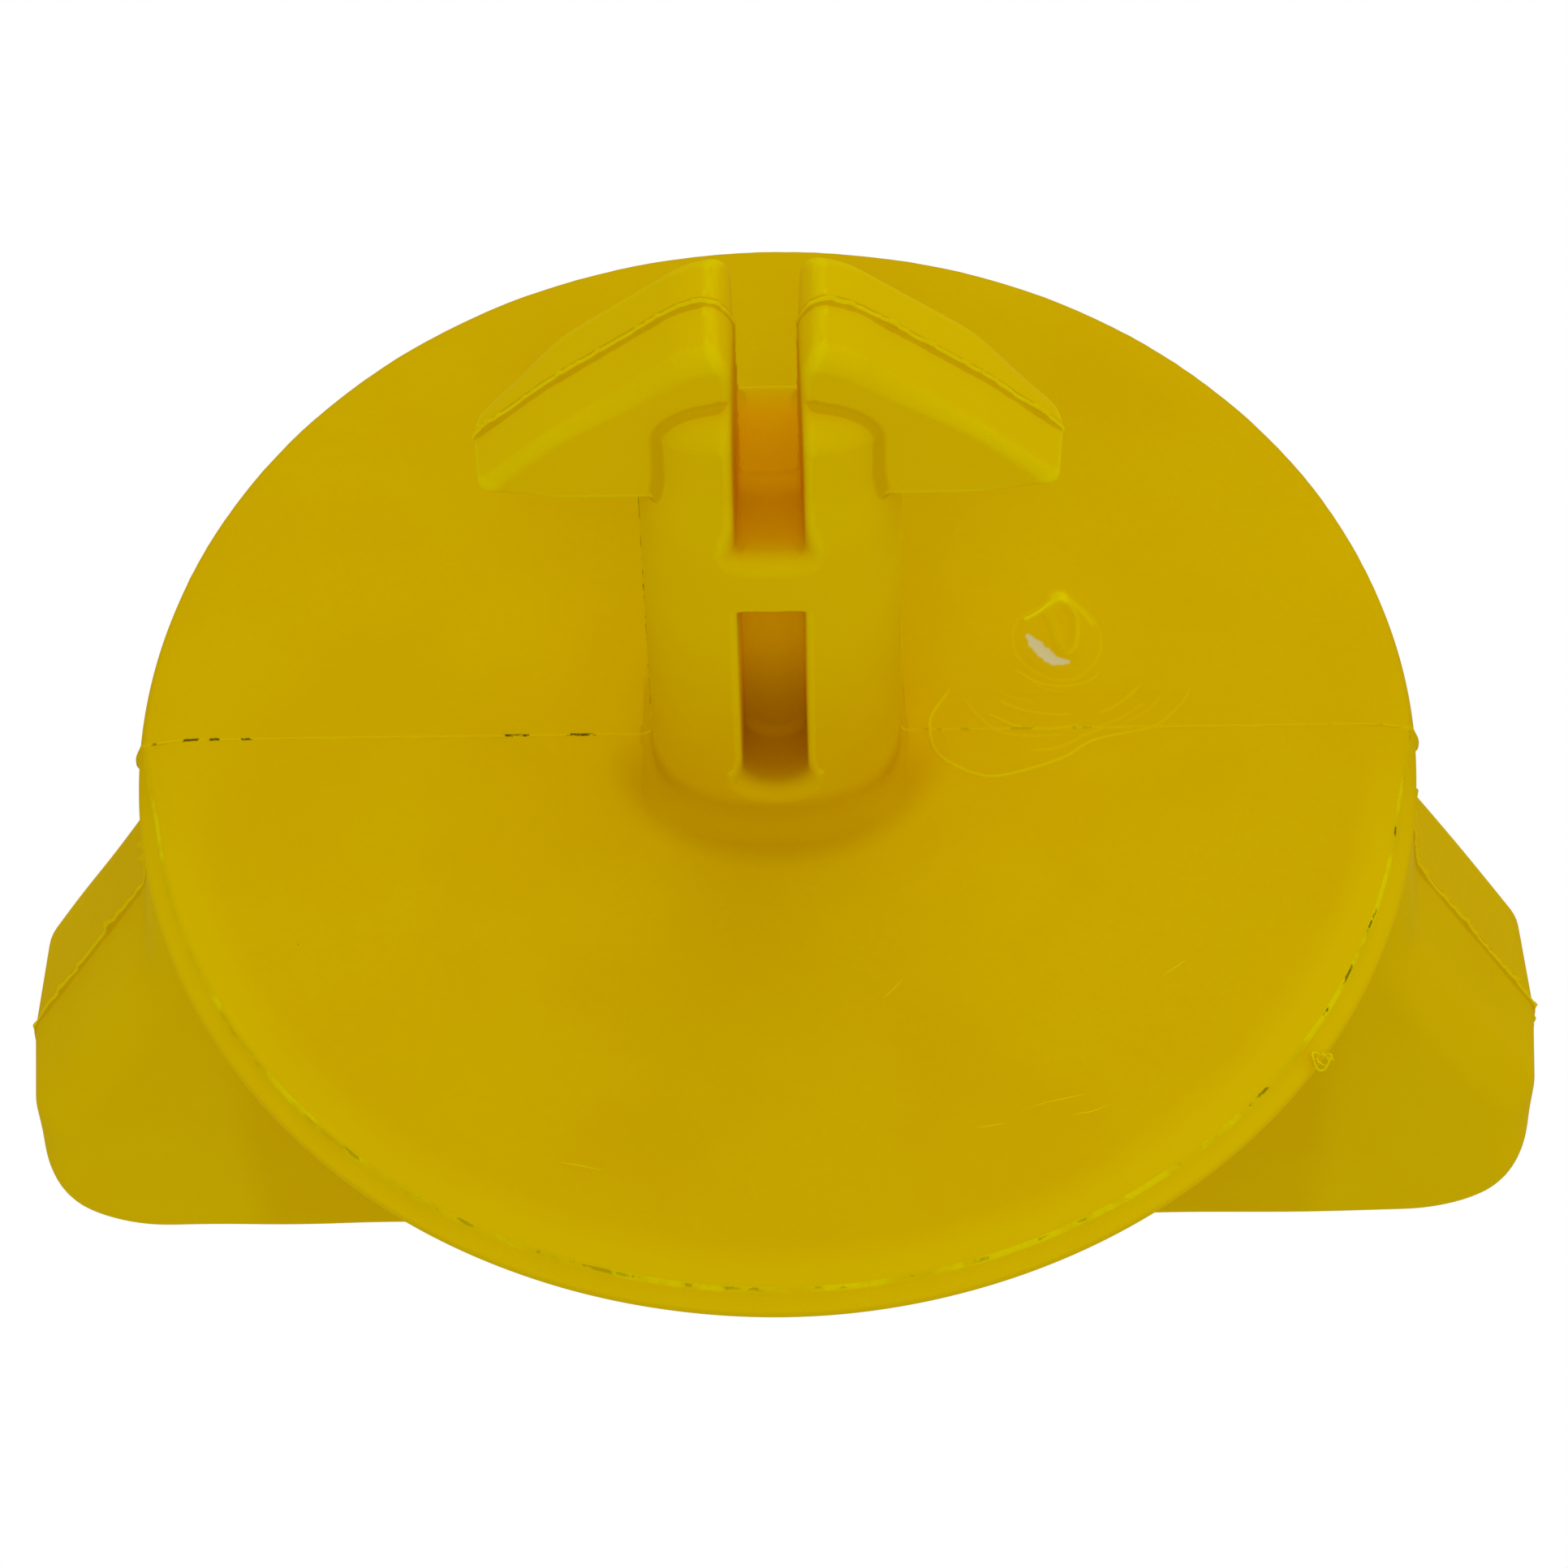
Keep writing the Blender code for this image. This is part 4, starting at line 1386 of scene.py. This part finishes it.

# %% Dirt in the parting line, and darker dashes on the rim's edge
LINE_DIRT = (0.05, 0.032, 0.002)
EDGE_DARK_DASHES = (0.05, 0.034, 0.002)
wander = times(minus(noise(0.8), 0.5), 0.12)
on_left = ramp(x, -3.5, -4.5)
stem_left = times(on_left, ramp(y, FRONT_Y - 0.5, FRONT_Y - 1.5))
narrowing = minus(1.0, times(stem_left, 0.6))
off_line = times(without_sign(plus(z, wander)), narrowing)
dashes = ramp(plus(noise(1.4, 4.0, 0.65), times(stem_left, 0.07)), 0.55, 0.60)
near_face = times(ramp(y, FRONT_Y - 19.0, FRONT_Y - 17.5), ramp(y, FRONT_Y + 4.0, FRONT_Y + 2.5))
amount = plus(times(on_left, 0.65), 0.2)
colour = mix(times(ramp(off_line, 0.085, 0.03), dashes, amount, near_face), colour, LINE_DIRT)

# Darker dashes on the rim's front edge: strongest at the lower right, and weaker on the lower half
# as painted shadow under the flash.
on_edge = times(ramp(off_edge, 0.06, 0.02), in_front)
lower_right = times(ramp(x, 14.0, 20.0), ramp(z, 0.5, -2.0))
lower_right = larger(lower_right, times(ramp(z, -12.0, -18.0), 0.45))
edge_dashes_and_shadow = times(on_edge, lower_right, ramp(noise(1.1, 4.0, 0.6), 0.55, 0.60), 0.7)
colour = mix(edge_dashes_and_shadow, colour, EDGE_DARK_DASHES)

# %% [markdown]
# ### The orange of deep places
#
# Deep in the slot and the pockets only light arrives that has bounced or gone through the plastic,
# and each time it turns a little more orange. A renderer would need many bounces inside the
# plastic for that, so the colour is put there directly. The shade under the stem's foot is the
# same thing, but weaker.

# %% Colour the deep places
SLOT_ABOVE = (1.0, 0.60, 0.0)
SLOT_BELOW = (0.87, 0.43, 0.0)
POCKET_FRONT = (1.0, 0.62, 0.0)
POCKET_ROOT = (0.73, 0.37, 0.0)
FOOT_REACH = 1.7
sunk = ramp(without_sign(z), STEM_HALF_H - 0.1, STEM_HALF_H - 1.6)
behind_nose = ramp(y, NOSE_Y + 1.0, NOSE_Y + 8.0)
before_disc = ramp(y, FRONT_Y - 0.5, FRONT_Y - 1.5)
slot_colour = mix(ramp(z, -0.2, -1.4), SLOT_ABOVE, SLOT_BELOW)
pocket_colour = mix(ramp(y, FRONT_Y - 10.0, FRONT_Y - 3.0), POCKET_FRONT, POCKET_ROOT)
in_pocket = ramp(y, FRONT_Y - 17.3, FRONT_Y - 16.3)
deep_colour = mix(in_pocket, slot_colour, pocket_colour)
colour = mix(times(narrow, sunk, behind_nose, before_disc), colour, deep_colour)

foot_x = math_node("DIVIDE", x, STEM_HALF_W + FOOT_REACH)
foot_z = math_node("DIVIDE", z, STEM_HALF_H + FOOT_REACH)
near_foot = ramp(plus(times(foot_x, foot_x), times(foot_z, foot_z)), 1.25, 0.75)
at_face = ramp(y, FRONT_Y - 2.0, FRONT_Y - 0.5)
colour = mix(times(near_foot, at_face, ramp(z, 1.0, -3.0), 0.8), colour, tinted(0.86, 0.74))

# %% [markdown]
# ### The scar and the surface
#
# At the torn gate the plastic was stretched until it whitened, which is the last layer of colour.
# The surface itself is waxy: nearly all the light it sends back is soft, and the little shine
# there is takes the plastic's own yellow. A very fine bump keeps it from looking polished.

# %% Finish the material
SCAR_PALE = (0.84, 0.74, 0.36)
DULLEST = 0.52
SHINIEST = 0.36
SHINE = 0.001
SHINE_TINT = (1.0, 0.86, 0.05, 1.0)
FINE_BUMP = 0.0016
SOFT_BUMP = 0.006
colour = mix(carried("pale"), colour, SCAR_PALE)
link(colour, shader.inputs["Base Color"])
gloss = node("ShaderNodeMapRange")
link(noise(1.5, 3.0), gloss.inputs["Value"])
gloss.inputs["To Min"].default_value = SHINIEST
gloss.inputs["To Max"].default_value = DULLEST
link(gloss.outputs["Result"], shader.inputs["Roughness"])
shader.inputs["Specular IOR Level"].default_value = SHINE
shader.inputs["Specular Tint"].default_value = SHINE_TINT
waves = plus(times(noise(0.16, 3.0, 0.6), FINE_BUMP), times(noise(1.2, 2.0), SOFT_BUMP))
bump = node("ShaderNodeBump")
bump.inputs["Strength"].default_value = 1.0
bump.inputs["Distance"].default_value = MM
link(waves, bump.inputs["Height"])
link(bump.outputs[0], shader.inputs["Normal"])

# %% Put it on every skin
skins = [disc_skin, stem_skin, spine_skin, *prong_skins.values(), *arm_skins.values(), *marks]
for piece in skins:
    piece.data.materials.append(material)
print("%d skins, %d nodes in the material" % (len(skins), len(tree.nodes)))

# %% [markdown]
# ## Hanging the skins on the bodies
#
# The disc, stem, spine and marks ride the fixed body. A prong or an arm has no hinge on the real
# part: it bends at its root. Here a prong's or an arm's skin rides no body: its place is only baked
# into its vertices, and the solids that it replaces are hidden.

# %% Ride, bake and replace
for piece in (disc_skin, stem_skin, spine_skin, *marks):
    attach(piece, "root")
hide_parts("disc")
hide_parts("stem")
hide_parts("spine", "post_pad")
for label, prong in prong_skins.items():
    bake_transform(prong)
    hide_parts(label + "_tine", label + "_wing")
for label, arm in arm_skins.items():
    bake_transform(arm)
    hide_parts(label + "_spring_arm", label + "_claw")

# %% [markdown]
# ## Floor, light and camera
#
# A pale floor lies well below, and the room is a white tent: soft light from everywhere, with a
# little more from above, from the right, and from below the fork. To the camera the tent itself
# is plain white. The camera looks up at the wire side from below.

# %% Floor
FLOOR_Z = -0.3
FLOOR_SIZE = 6.0
FLOOR_COLOUR = (0.86, 0.86, 0.85, 1)
FLOOR_ROUGHNESS = 0.9
half = FLOOR_SIZE / 2
floor_mesh = bpy.data.meshes.new("floor")
floor_mesh.from_pydata(
    [(-half, -half, 0), (half, -half, 0), (half, half, 0), (-half, half, 0)], [], [(0, 1, 2, 3)])
floor = bpy.data.objects.new("floor", floor_mesh)
floor.location = (0, 0, FLOOR_Z)
bpy.context.scene.collection.objects.link(floor)
pale_floor = bpy.data.materials.new("pale_floor")
pale_floor.use_nodes = True
floor_shader = pale_floor.node_tree.nodes["Principled BSDF"]
floor_shader.inputs["Base Color"].default_value = FLOOR_COLOUR
floor_shader.inputs["Roughness"].default_value = FLOOR_ROUGHNESS
floor_mesh.materials.append(pale_floor)

# %% Lights
LIGHTS_AIM = (0, -0.02, 0)


def soft_light(name, place, size, power):
    """A square soft box that faces the object."""
    data = bpy.data.lights.new(name, "AREA")
    data.shape = "SQUARE"
    data.size = size
    data.energy = power
    lamp = bpy.data.objects.new(name, data)
    lamp.location = place
    away = Vector(place) - Vector(LIGHTS_AIM)
    lamp.rotation_euler = away.to_track_quat("Z", "Y").to_euler()
    bpy.context.scene.collection.objects.link(lamp)


soft_light("sky_box", (0.1, -0.8, 1.1), size=1.2, power=2.2)
soft_light("right_box", (1.1, -0.5, 0.1), size=0.8, power=0.6)
soft_light("low_box", (0.0, -0.36, -0.285), size=0.25, power=0.28)

# %% The white tent
TENT_LIGHT = 0.545
WHITE = (1, 1, 1, 1)
world = bpy.data.worlds.new("white_tent")
bpy.context.scene.world = world
world.use_nodes = True
world_tree = world.node_tree
tent = world_tree.nodes["Background"]
tent.inputs["Color"].default_value = WHITE
tent.inputs["Strength"].default_value = TENT_LIGHT
backdrop = world_tree.nodes.new("ShaderNodeBackground")
backdrop.inputs["Color"].default_value = WHITE
backdrop.inputs["Strength"].default_value = 1.0
seen = world_tree.nodes.new("ShaderNodeMixShader")
rays = world_tree.nodes.new("ShaderNodeLightPath")
world_tree.links.new(rays.outputs["Is Camera Ray"], seen.inputs[0])
world_tree.links.new(tent.outputs[0], seen.inputs[1])
world_tree.links.new(backdrop.outputs[0], seen.inputs[2])
world_tree.links.new(seen.outputs[0], world_tree.nodes["World Output"].inputs["Surface"])
bpy.context.scene.view_settings.view_transform = "Standard"

# %% Camera
DISTANCE = 219.25
LOOK_UP = math.radians(34.5)
ASIDE = math.radians(0.6)
ROLL = math.radians(0.45)
LENS = 126.65
SENSOR = 36.0
SHIFT = (0.0049, -0.0305)
target = Vector((0, (FRONT_Y + 0.3) * MM, 0))
direction = Vector((math.sin(ASIDE) * math.cos(LOOK_UP),
                    -math.cos(ASIDE) * math.cos(LOOK_UP),
                    -math.sin(LOOK_UP)))
camera_data = bpy.data.cameras.new("camera")
camera_data.sensor_width = SENSOR
camera_data.lens = LENS
camera_data.shift_x, camera_data.shift_y = SHIFT
camera_data.clip_start = 0.01
camera_data.clip_end = 20
camera = bpy.data.objects.new("camera", camera_data)
aim = direction.to_track_quat("Z", "Y").to_matrix().to_4x4()
stand = Matrix.Translation(target + direction * DISTANCE * MM)
camera.matrix_world = stand @ aim @ Matrix.Rotation(-ROLL, 4, "Z")
bpy.context.scene.collection.objects.link(camera)
bpy.context.scene.camera = camera
